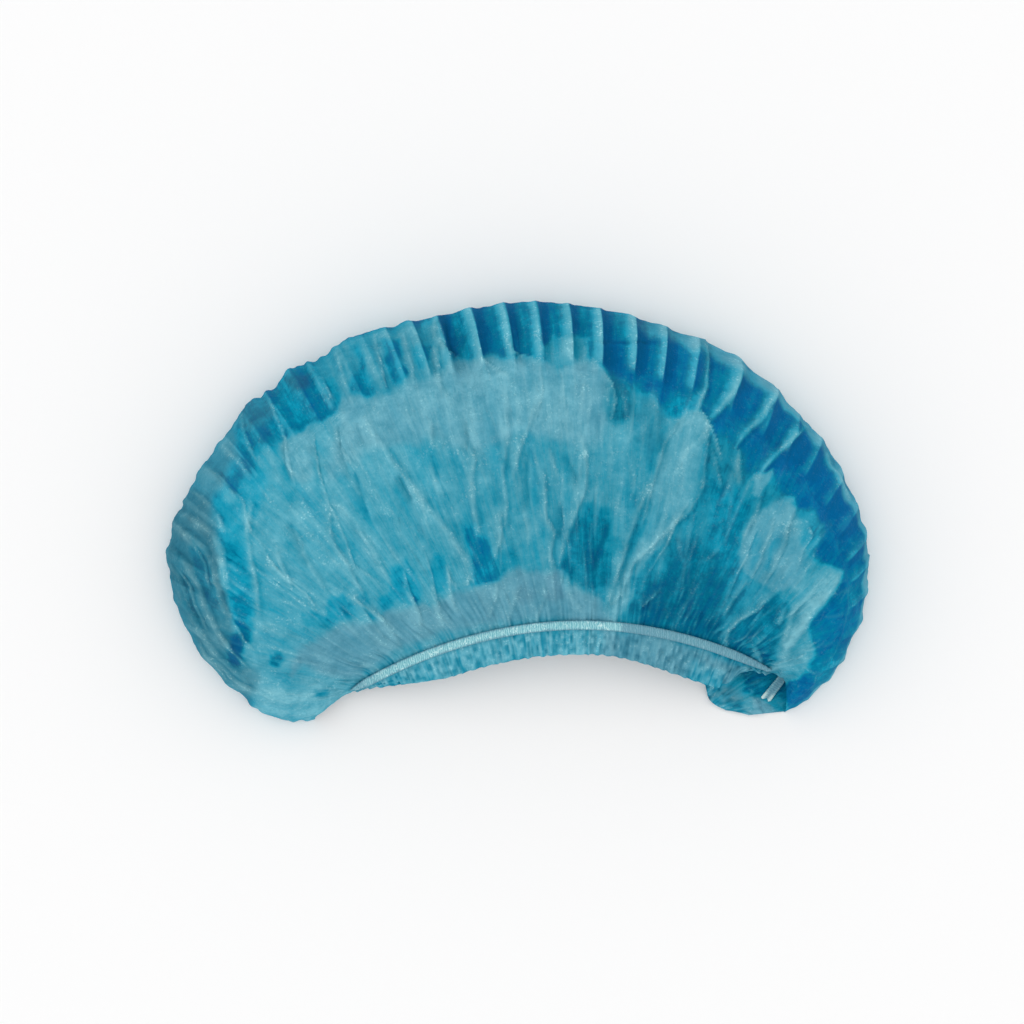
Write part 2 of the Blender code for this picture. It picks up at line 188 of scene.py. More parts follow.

# Areas of one tone, in millimetres on the plan from the cap's middle, x to the right and y up: name, width
# of the soft edge, how many layers seem to lie there, a number that also paints the shade of shadowed folds
# and of the pocket, how grey the fabric is, how much painted shade dims it, how much it covers, and its
# outline. A name that starts with inner is painted on the back layer, in the pocket.
PATCHES = [
    ("panel_left", 5.1, 0.4, 0.02, 0.03, 1, [(-113.3, 13.8), (-109, 26.5), (-97.1, 32.5), (-80.1, 37.5),
     (-63.1, 43.5), (-33.4, 47.7), (-20.6, 18), (-16.4, -20.1), (-33.4, -37.1), (-80.1, -49.8), (-97.1,
     -54.1), (-109, -37.1), (-114.1, -11.7)]),
    ("panel_centre", 6, 0.46, 0.06, 0.12, 1, [(-33.4, 30.8), (0.6, 35), (34.6, 30.8), (51.6, 26.5),
     (43.1, -3.2), (34.6, -20.1), (9.1, -30.7), (-16.4, -32.9), (-29.1, -11.7)]),
    ("panel_right", 6, 0.64, 0.04, 0.22, 1, [(51.6, 30.8), (77.1, 47.7), (102.6, 35), (119.6, 18),
     (115.4, -37.1), (106.9, -60.4), (51.6, -54.1), (38.9, -37.1), (45.3, -3.2)]),
    ("panel_top", 3.4, 0.16, 0.32, 0.05, 0.9, [(-80.1, 35), (-73.7, 47.7), (-62.3, 51.1), (-50.4, 54.1),
     (-37.6, 59.6), (-27, 63.8), (-14.2, 68.1), (0.6, 63.8), (17.6, 62.2), (30.4, 63.8), (37.2, 55.4),
     (37.6, 39.2), (32.5, 30.8), (17.6, 30.8), (0.6, 35), (-16.4, 24.4), (-33.4, 30.8), (-50.4, 30.8),
     (-63.1, 26.5), (-73.7, 18), (-80.1, 13.8)]),
    ("grey_corner", 2.5, 0.34, 0.45, 0.1, 0.8, [(24, 59.6), (31.2, 62.2), (36.8, 55.4), (37.2, 42.6),
     (33.8, 35.9), (26.1, 39.2), (22.7, 49.8)]),
    ("left_window", 1.7, 0.2, 0.22, 0.05, 0.9, [(-99.7, 32), (-91.2, 35), (-87.8, 36.7), (-87.3, 26.5),
     (-88.2, 15.5), (-91.6, 12.1), (-97.1, 14.6), (-99.7, 22.3)]),
    ("left_window_two", 1.7, 0.3, 0.08, 0.05, 0.8, [(-86.9, 38), (-80.1, 41.4), (-77.1, 35), (-77.6,
     24), (-83.5, 18), (-86.1, 26.5)]),
    ("middle_window", 2.5, 0.18, 0.34, 0.06, 0.8, [(-75, 46.9), (-62.3, 49.8), (-42.7, 49.4), (-37.6,
     43.5), (-41.9, 27.8), (-58.9, 28.6), (-70.8, 30.8)]),
    ("left_flank", 3.8, 0.52, 0.42, 0.26, 0.9, [(-120.1, 43.1), (-116.2, 39.2), (-118.4, 26.5), (-123.5,
     18), (-129.4, 5.3), (-133.2, -3.2), (-150.2, -2.3), (-144.7, 9.6), (-134.1, 21.4), (-125.2, 35)]),
    ("left_lobe", 3.4, 0.5, 0.45, 0.42, 1, [(-152.4, 0.2), (-143.9, 10.4), (-130.3, 3.2), (-128.6,
     -9.5), (-126, -24.4), (-122.6, -41.4), (-124.3, -54.1), (-131.1, -64.7), (-141.3, -49.8), (-149,
     -37.1), (-151.1, -20.1)]),
    ("lobe_shadow_one", 1.7, 0.86, 0.1, 0.34, 0.75, [(-138.8, -9.1), (-132.8, -14.2), (-129, -24.4),
     (-126, -39.7), (-123.5, -52.4), (-128.6, -54.1), (-132.8, -42.2), (-136.2, -30.3), (-139.6, -18.4)]),
    ("lobe_shadow_two", 1.7, 0.8, 0.15, 0.4, 0.6, [(-145.6, -15.1), (-140.5, -22.7), (-137.1, -32.9),
     (-133.7, -45.6), (-137.1, -50.7), (-142.2, -42.2), (-146.4, -31.2)]),
    ("lobe_shadow_three", 1.7, 0.84, 0.1, 0.34, 0.65, [(-123.5, -54.1), (-115.8, -63.4), (-110.7,
     -69.4), (-114.1, -75.3), (-120.9, -69.4), (-126.9, -60.9)]),
    ("lobe_middle", 3.8, 0.46, 0.34, 0.34, 0.9, [(-134.9, -40.5), (-123.5, -43.5), (-116.2, -60.4),
     (-109, -71.9), (-114.1, -81.7), (-130.3, -69.4), (-138.8, -54.1)]),
    ("lobe_bottom", 3.4, 0.16, 0.1, 0, 0.9, [(-110.7, -72.7), (-92.9, -71), (-73.7, -72.7), (-77.6,
     -82.1), (-84.4, -88), (-99.7, -90.6), (-112, -82.9)]),
    ("lobe_inner", 3.4, 0.42, 0.06, 0.08, 0.9, [(-110.7, -45.6), (-97.1, -54.1), (-96.3, -69.4), (-80.1,
     -71), (-71.6, -71.9), (-92.9, -75.3), (-109, -72.7), (-114.1, -60.4)]),
    ("left_stream", 2.1, 0.57, 0, 0, 1, [(-129.4, 5.3), (-118.4, 8.7), (-113.3, 0.2), (-114.5, -11.7),
     (-113.7, -26.5), (-112, -41.4), (-115.8, -50.7), (-120.1, -49), (-123.5, -41.4), (-126, -24.4),
     (-128.6, -9.5)]),
    ("left_stream_deep", 2.1, 0.74, 0, 0, 0.9, [(-121.8, -33.7), (-114.1, -32.9), (-112.4, -42.2),
     (-115.8, -48.1), (-120.1, -46.4)]),
    ("stream_upper", 2.1, 0.57, 0, 0, 0.9, [(-119.2, 12.1), (-113.3, 17.2), (-107.3, 24.4), (-105.6,
     18), (-109, 9.6), (-111.6, -1.1), (-116.7, 0.2)]),
    ("lobe_dark_one", 2.1, 0.97, 0, 0.25, 0.9, [(-124.3, -52.4), (-119.2, -49.8), (-115.4, -54.1),
     (-116.2, -63.4), (-120.9, -64.3), (-124.3, -59.2)]),
    ("lobe_dark_two", 1.7, 0.86, 0, 0.2, 0.8, [(-107.7, -60), (-102.2, -59.2), (-100.1, -62.6), (-103.1,
     -66), (-107.3, -64.3)]),
    ("lobe_dark_three", 1.7, 0.82, 0, 0.2, 0.8, [(-118.4, -46.4), (-112.4, -47.3), (-113.3, -54.9),
     (-117.5, -54.1)]),
    ("lobe_dark_four", 1.3, 0.7, 0, 0.2, 0.7, [(-86.1, -75.3), (-81.8, -75.3), (-81.8, -78.7), (-86.1,
     -78.3)]),
    ("band_left", 2.1, 0.72, 0, 0.12, 1, [(-117.1, 28.6), (-120.1, 37.1), (-109, 48.6), (-97.1, 58.3),
     (-88.6, 62.2), (-79.3, 59.6), (-77.6, 46), (-80.5, 41.8), (-86.1, 39.7), (-90.7, 37.5), (-91.6, 35),
     (-99.7, 32.5), (-106.5, 29.1), (-113.3, 25.7)]),
    ("band_left_bright", 2.1, 0.72, 0, 0.05, 0.9, [(-106.5, 43.5), (-97.1, 48.6), (-87.8, 50.3), (-80.5,
     46.9), (-81, 42.6), (-90.3, 39.2), (-91.6, 35), (-99.7, 33.3), (-104.8, 37.5)]),
    ("band_left_teal", 1.7, 0.8, 0.05, 0.15, 0.9, [(-115.8, 35), (-109, 37.5), (-105.6, 34.2), (-107.3,
     29.5), (-114.1, 29.1)]),
    ("band_left_dark", 2.1, 0.7, 0.3, 0.3, 0.8, [(-118.4, 44.3), (-109, 48.6), (-105.6, 42.6), (-109,
     37.5), (-115.8, 35.9)]),
    ("band_left_shadow", 1.3, 0.86, 0.2, 0.4, 0.8, [(-98, 57.1), (-89.5, 57.9), (-88.2, 52.8), (-94.6,
     51.1)]),
    ("veil_left", 2.5, 0.5, 0.14, 0.14, 0.95, [(-87.8, 63.8), (-75.9, 72.3), (-57.2, 78.3), (-44.4,
     78.7), (-34.6, 80.8), (-32.9, 73.2), (-30.8, 63.8), (-37.6, 57.1), (-50.4, 52.8), (-62.3, 49.4),
     (-74.2, 46.9), (-77.6, 51.1), (-81.8, 56.2)]),
    ("veil_teal", 1.3, 0.64, 0, 0.1, 0.8, [(-81.8, 56.2), (-78.4, 57.1), (-75.9, 46.9), (-78.4, 46)]),
    ("veil_spot_one", 1.5, 0.74, 0, 0.08, 0.95, [(-69.9, 71.5), (-66.5, 71.1), (-64.4, 62.2), (-61,
     54.1), (-61.8, 50.3), (-69.9, 49), (-70.3, 58.3), (-68.6, 64.7)]),
    ("veil_spot_two", 1.5, 0.78, 0, 0.05, 0.95, [(-57.6, 74), (-51.6, 74.5), (-50.4, 66.8), (-47.8,
     59.6), (-50.4, 55.4), (-54.2, 56.2), (-56.3, 63.8)]),
    ("veil_spot_three", 1.5, 0.74, 0, 0.1, 0.95, [(-44.8, 71.1), (-37.6, 72.3), (-36.8, 66.4), (-38.9,
     60.5), (-42.3, 61.3), (-45.3, 66.4)]),
    ("band_top", 2.1, 0.76, 0, 0.12, 1, [(-33.4, 80.8), (-20.6, 86.3), (-6.6, 90.1), (21.9, 91), (51.6,
     84.2), (62.3, 79.5), (60.1, 71.1), (30.4, 71.9), (9.1, 72.3), (6.2, 65.5), (-4.5, 65.5), (-7.9, 68.1),
     (-14.7, 67.2), (-20.6, 63.8), (-25.7, 65.5), (-30.8, 71.1)]),
    ("big_fold_dark", 1.1, 0.98, 0, 0.3, 0.95, [(-34.2, 80.8), (-30.4, 83.4), (-28.3, 77.4), (-27,
     71.1), (-25.7, 66), (-29.1, 68.9), (-32.1, 74)]),
    ("fold_lap_dark", 1.7, 0.84, 0, 0.15, 0.9, [(-8.7, 74), (-5.3, 74.5), (-2.3, 68.1), (-2.8, 65.5),
     (-7.9, 66.4)]),
    ("veil_top", 1.3, 0.42, 0.06, 0.08, 0.9, [(9.6, 72.3), (15.5, 74), (30, 73.6), (30.4, 68.1), (29.5,
     63.4), (17.6, 63), (9.6, 64.3)]),
    ("corner_teal", 3, 0.76, 0.05, 0.38, 0.9, [(37.2, 59.6), (44, 58.3), (49.1, 52), (49.1, 37.1),
     (41.4, 35), (36.8, 39.2), (38.5, 47.7)]),
    ("right_band", 3, 0.86, 0, 0.08, 1, [(30.4, 71.1), (51.6, 72.3), (62.3, 79.5), (77.1, 74.9), (94.6,
     63.8), (110.3, 52.4), (119.6, 42.2), (129.8, 31.6), (140.5, 16.3), (146.8, 1.9), (148.5, -20.1),
     (147.7, -37.1), (140.9, -54.1), (130.7, -69.4), (119.6, -81.7), (124.7, -54.1), (135.8, -24.4), (124.7,
     -20.1), (118.4, 3.2), (115.4, 9.6), (99.2, 18), (91.2, 26.5), (79.7, 35), (75, 42.6), (62.3, 42.6),
     (51.6, 51.1), (34.6, 63)]),
    ("right_band_blue", 3, 0.88, 0, 0, 0.9, [(58, 66.4), (66.9, 73.2), (75.9, 68.1), (77.1, 59.6),
     (64.4, 48.6), (55, 51.1)]),
    ("right_band_mid", 2.1, 0.74, 0, 0.04, 0.8, [(60.1, 48.6), (77.1, 54.1), (78, 46.9), (72.9, 42.6),
     (63.5, 42.6)]),
    ("ray_one_dark", 1.7, 0.9, 0, 0, 0.9, [(96.7, 52.4), (101.8, 53.7), (103.9, 50.3), (86.5, 34.2),
     (81.8, 35), (82.2, 39.2)]),
    ("ray_two_dark", 1.7, 0.92, 0, 0.05, 0.9, [(108.6, 44.3), (115.4, 42.6), (114.5, 39.2), (99.2,
     25.7), (95.8, 27.4)]),
    ("ray_three_dark", 2.1, 0.94, 0, 0.05, 0.9, [(122.2, 33.3), (126.4, 29.1), (125.6, 21.4), (117.5,
     15.9), (109.4, 15.5), (99.2, 16.3), (106.9, 24)]),
    ("right_blue_one", 2.5, 0.93, 0, 0, 0.95, [(119.6, 18.9), (134.5, 19.7), (141.7, 5.3), (144.3,
     -7.4), (140, -13.8), (134.5, -3.2), (119.6, 0.2), (117.5, 9.6)]),
    ("right_blue_two", 2.1, 0.82, 0, 0, 0.8, [(108.2, 18), (119.6, 18), (122.2, 8.7), (118.8, 5.3),
     (110.3, 8.7)]),
    ("right_blue_three", 2.5, 0.87, 0, 0, 0.9, [(124.7, -41.4), (134.9, -39.7), (139.2, -50.7), (133.2,
     -58.3), (127.3, -59.2), (123, -51.5)]),
    ("right_cyan", 2.5, 0.8, 0, 0, 0.8, [(135.8, -25.2), (145.6, -22.3), (146.4, -37.1), (140.9, -52.4),
     (135.8, -41.4)]),
    ("right_low_cyan", 2.5, 0.78, 0, 0, 0.8, [(125.6, -60.4), (135.8, -54.1), (134.9, -64.3), (127.3,
     -75.3), (122.2, -79.5), (121.3, -69.4)]),
    ("rib_between", 2.5, 0.62, 0.22, 0.25, 0.8, [(51.6, 48.6), (58.9, 48.6), (63.5, 41.4), (60.1, 30.8),
     (55, 22.3), (49.9, 30.8)]),
    ("long_rib", 1.7, 0.3, 0.12, 0.06, 0.95, [(64.8, 35), (61.8, 28.6), (58, 18), (55, 5.3), (51.6,
     -7.4), (48.2, -20.1), (44, -30.7), (38, -42.2), (44, -45.6), (47.4, -41.4), (49.9, -30.7), (53.8,
     -20.1), (63.5, -9.5), (72.9, 5.3), (77.1, 13.8), (79.7, 24.4), (79.7, 37.1), (75.9, 44.3), (72, 42.6),
     (68.6, 39.2)]),
    ("rib_right_dark", 2.5, 0.7, 0.06, 0.26, 0.8, [(80.5, 32.5), (89, 30.8), (96.3, 22.3), (98.4, 5.3),
     (89.9, -3.2), (79.7, 5.3)]),
    ("right_teal", 3.4, 0.79, 0, 0.3, 1, [(51.6, -39.7), (58.4, -28.6), (65.2, -18.4), (77.1, -11.7),
     (89, -18.4), (87.3, -32.9), (83.9, -45.6), (86.5, -59.2), (77.1, -58.3), (63.5, -54.1), (51.6,
     -50.7)]),
    ("right_teal_low", 3, 0.76, 0, 0.2, 1, [(86.5, -60.4), (86.5, -49.8), (94.1, -42.2), (106.9, -37.1),
     (115.4, -37.1), (112, -49.8), (108.6, -60.4), (102.6, -66), (94.1, -64.3)]),
    ("right_teal_two", 4.2, 0.76, 0, 0.15, 1, [(82.2, 13.8), (94.1, 11.2), (99.2, 3.2), (97.5, -9.5),
     (93.3, -20.1), (86.5, -22.7), (80.5, -13.8)]),
    ("right_pale", 1.7, 0.38, 0.3, 0.08, 0.95, [(95, -15.1), (98.4, -5.3), (104.3, 1.9), (113.7, 6.2),
     (118.4, 1.9), (117.5, -6.6), (120.1, -13.8), (123, -21), (119.6, -25.2), (117.9, -32), (112, -32.9),
     (104.3, -29.5), (98.4, -25.2), (93.3, -20.1)]),
    ("right_pale_two", 2.1, 0.62, 0.08, 0.12, 0.9, [(92, -21), (99.2, -26.5), (109.4, -33.7), (106.9,
     -38), (96.3, -39.7), (89.9, -32.9)]),
    ("right_pale_gap", 1.7, 0.6, 0.1, 0.06, 0.8, [(106, -22.7), (107.3, -15.1), (109.4, -9.1), (111.6,
     -10.8), (110.3, -17.6), (108.6, -24.4)]),
    ("right_pale_gap_two", 1.7, 0.58, 0.1, 0.06, 0.75, [(98.4, -20.1), (99.7, -14.2), (101.8, -9.1),
     (103.5, -10.8), (102.2, -16.7), (100.5, -22.7)]),
    ("right_speckled", 1.7, 0.62, 0.1, 0.1, 0.8, [(118.4, 3.2), (126, 1.9), (130.7, -7.4), (124.7,
     -20.1), (121.3, -13.8), (118.4, -6.6)]),
    ("spot_pale_one", 1.1, 0.34, 0.25, 0.06, 0.85, [(101.4, 16.3), (107.7, 18), (106, 11.2), (102.6,
     7.4), (99.7, 9.6)]),
    ("spot_pale_two", 1.1, 0.4, 0.15, 0.06, 0.8, [(113.3, 6.6), (118.4, 7.9), (118.4, 5.3), (114.5,
     4)]),
    ("above_lens_one", 1.7, 0.7, 0, 0.08, 0.9, [(-81.8, -36.3), (-73.7, -33.7), (-69.1, -40.5), (-70.8,
     -45.6), (-79.3, -47.3), (-83.5, -46.4)]),
    ("above_lens_two", 1.3, 0.68, 0, 0.08, 0.85, [(-67.8, -33.7), (-64, -32.9), (-61, -42.2), (-63.1,
     -45.6), (-66.5, -41.4)]),
    ("above_lens_three", 1.3, 0.74, 0, 0.06, 0.9, [(-58.9, -36.3), (-53.8, -35.4), (-53.3, -43.9),
     (-56.3, -45.2)]),
    ("above_lens_four", 2.1, 0.74, 0, 0.05, 0.9, [(-55, -24.4), (-47, -21), (-41.9, -28.6), (-42.3,
     -37.1), (-45.3, -42.2), (-52.1, -37.1)]),
    ("above_lens_five", 1.7, 0.68, 0, 0.08, 0.85, [(-37.6, -19.3), (-30.8, -18.4), (-29.1, -28.6),
     (-30.8, -34.6), (-35.9, -32.9)]),
    ("above_lens_six", 1.3, 0.6, 0, 0.1, 0.8, [(-93.3, -43.1), (-85.2, -43.1), (-83.5, -49), (-92,
     -49.8)]),
    ("deep_pool", 2.1, 0.8, 0, 0, 0.9, [(-24, -6.6), (-18.1, -4.9), (-13.8, -11.7), (-11.3, -20.1),
     (-7.9, -27.8), (-13.8, -31.2), (-18.9, -30.3), (-20.6, -20.1)]),
    ("pool_side", 2.5, 0.64, 0, 0.2, 0.85, [(-10.4, -18.4), (-3.6, -15.9), (2.3, -20.1), (4.9, -25.2),
     (-4.5, -27.8), (-8.7, -26.9)]),
    ("right_triangle", 2.5, 0.74, 0, 0.25, 0.95, [(16.8, -25.2), (21, -13.8), (24.4, -3.2), (29.5, 2.8),
     (39.7, -0.6), (42.3, -13.8), (39.7, -28.6), (36.3, -39.7), (31.2, -35.4), (25.3, -28.6)]),
    ("right_pool", 2.5, 0.84, 0, 0.35, 0.8, [(55, -33.7), (63.5, -32), (66.9, -39.7), (63.5, -50.7),
     (55.9, -49.8), (51.6, -43.1)]),
    ("lens", 2.1, 0.2, 0.6, 0.09, 0.95, [(-97.5, -68.5), (-95, -59.2), (-87.8, -55.4), (-78.4, -48.6),
     (-67.4, -47.3), (-51.2, -42.6), (-37.6, -39.7), (-27, -33.7), (-22.3, -31.6), (-14.7, -30.3), (-8.7,
     -29.5), (-4.5, -26.5), (5.3, -25.7), (19.3, -25.7), (21, -30.7), (28.3, -32.9), (34.6, -37.1), (37.2,
     -42.2), (39.7, -44.7), (34.6, -47.3), (17.6, -46), (0.6, -46.4), (-16.4, -48.1), (-33.4, -52.4),
     (-50.4, -58.3), (-58.9, -63.4), (-66.5, -68.9), (-80.1, -69.4), (-92.9, -66)]),
    ("lens_grey_one", 1.7, 0.4, 0.85, 0.22, 0.8, [(0.2, -32), (4.9, -30.3), (9.1, -33.7), (7.4, -38.8),
     (1.5, -38.4)]),
    ("lens_grey_two", 1.3, 0.42, 0.9, 0.14, 0.85, [(12.5, -26.9), (17.6, -26.1), (19.8, -32.9), (15.9,
     -38), (12.5, -35.4)]),
    ("lens_blue_low", 1.7, 0.45, 0.2, 0.12, 0.7, [(-66.5, -66), (-50.4, -57.5), (-33.4, -51.5), (-16.4,
     -47.3), (0.6, -45.6), (17.6, -45.2), (34.6, -46.4), (34.6, -49), (17.6, -47.3), (0.6, -47.7), (-16.4,
     -49.4), (-33.4, -53.7), (-50.4, -60), (-63.1, -67.7)]),
    ("lens_pale", 1.7, 0.2, 0.5, 0, 0.5, [(-31.2, -35.4), (-24, -32.9), (-22.3, -39.7), (-26.6, -46.4),
     (-30.8, -43.9)]),
    ("hem", 1.3, 0.33, 0.08, 0, 1, [(-75.9, -76.1), (-58.9, -71), (-33.4, -59.2), (0.6, -52.4), (34.6,
     -53.2), (39.7, -66), (17.6, -62.6), (-7.9, -63.4), (-33.4, -67.7), (-50.4, -71.9), (-63.1, -75.3)]),
    ("hem_lilac", 2.1, 0.34, 0.6, 0.16, 0.9, [(34.6, -51.5), (51.6, -51.5), (68.6, -56.2), (85.6,
     -60.4), (98.4, -66), (91.6, -72.7), (77.1, -66), (72.9, -71), (60.1, -69.4), (51.6, -67.7), (36.3,
     -64.3)]),
    ("hem_right_cyan", 2.1, 0.5, 0.12, 0.05, 0.7, [(72.9, -63.4), (87.3, -66), (88.2, -74.4), (77.1,
     -75.3), (72, -72.7)]),
    # The pocket's areas paint the shade inside the cap's mouth with deep tones and dim.
    ("pocket", 1.3, 0.62, 0, 0.05, 1, [(87.3, -75.3), (91.6, -68.9), (97.5, -66.8), (104.3, -67.7),
     (110.3, -70.2), (108.6, -75.3), (102.6, -79.5), (95.8, -78.3)]),
    ("pocket_right", 1.3, 0.88, 0, 0, 1, [(112, -71.9), (116.2, -70.2), (120.5, -68.5), (124.7, -69.4),
     (127.3, -72.7), (122.2, -79.5), (115.4, -85.5), (112.8, -82.1), (111.1, -77)]),
    ("pocket_ridge", 0.8, 0.6, 0, 0, 0.9, [(101.8, -79.1), (106, -79.5), (112, -84.6), (116.2, -85.5),
     (114.5, -87.6), (109.4, -85.9)]),
    ("flap", 0.8, 0.3, 0.45, 0, 0.95, [(98.8, -79.1), (104.3, -80.4), (110.3, -86.3), (94.1, -86.3),
     (95.8, -82.1)]),
    ("inner_pocket", 1.3, 0.62, 0, 0.05, 1, [(83.9, -75.3), (88.2, -69.4), (94.1, -65.1), (102.6,
     -62.6), (112.8, -62.6), (121.3, -66), (122.2, -75.3), (115.4, -86.3), (108.6, -82.1), (102.6, -79.1),
     (95.8, -78.3)]),
    ("inner_blue", 1.3, 0.8, 0, 0, 1, [(95.8, -75.3), (95, -69.4), (97.5, -64.3), (102.6, -61.7),
     (113.7, -62.6), (119.6, -67.7), (121.3, -75.3), (115.4, -85.5), (111.1, -81.2), (107.7, -75.3), (104.3,
     -78.3), (100.1, -77.8)]),
    ("inner_cyan", 1.3, 0.54, 0, 0, 0.9, [(89, -71.9), (92.4, -67.7), (95.8, -67.7), (97.1, -72.7),
     (94.1, -75.3), (90.7, -74.4)]),
    ("inner_grey", 1.3, 0.5, 0.4, 0.15, 0.8, [(86.5, -76.1), (90.7, -72.7), (95, -75.3), (95.8, -78.7),
     (90.7, -80.4)]),
    ("inner_ridge", 0.8, 0.58, 0, 0.06, 0.95, [(99.2, -77), (103.5, -78.3), (107.7, -81.2), (114.5,
     -86.3), (111.1, -88), (105.2, -82.9)]),
    ("inner_flap", 0.8, 0.24, 0.5, 0, 1, [(98.8, -79.1), (101.8, -79.5), (110.3, -86.3), (109.4, -89.7),
     (95, -89.7), (94.1, -86.3), (98.4, -84.6)]),
    ("inner_flap_left", 1.7, 0.56, 0.1, 0.05, 0.95, [(77.1, -69.4), (85.6, -75.3), (92.4, -79.5), (98.4,
     -79.5), (98.4, -84.6), (94.1, -87.2), (88.2, -89.7), (79.7, -79.5)]),
    ("flap_left", 1.3, 0.62, 0.05, 0.05, 0.9, [(87.3, -72.7), (93.3, -75.3), (98.4, -78.3), (95.8,
     -84.6), (93.3, -86.3), (89.9, -82.1)]),
]
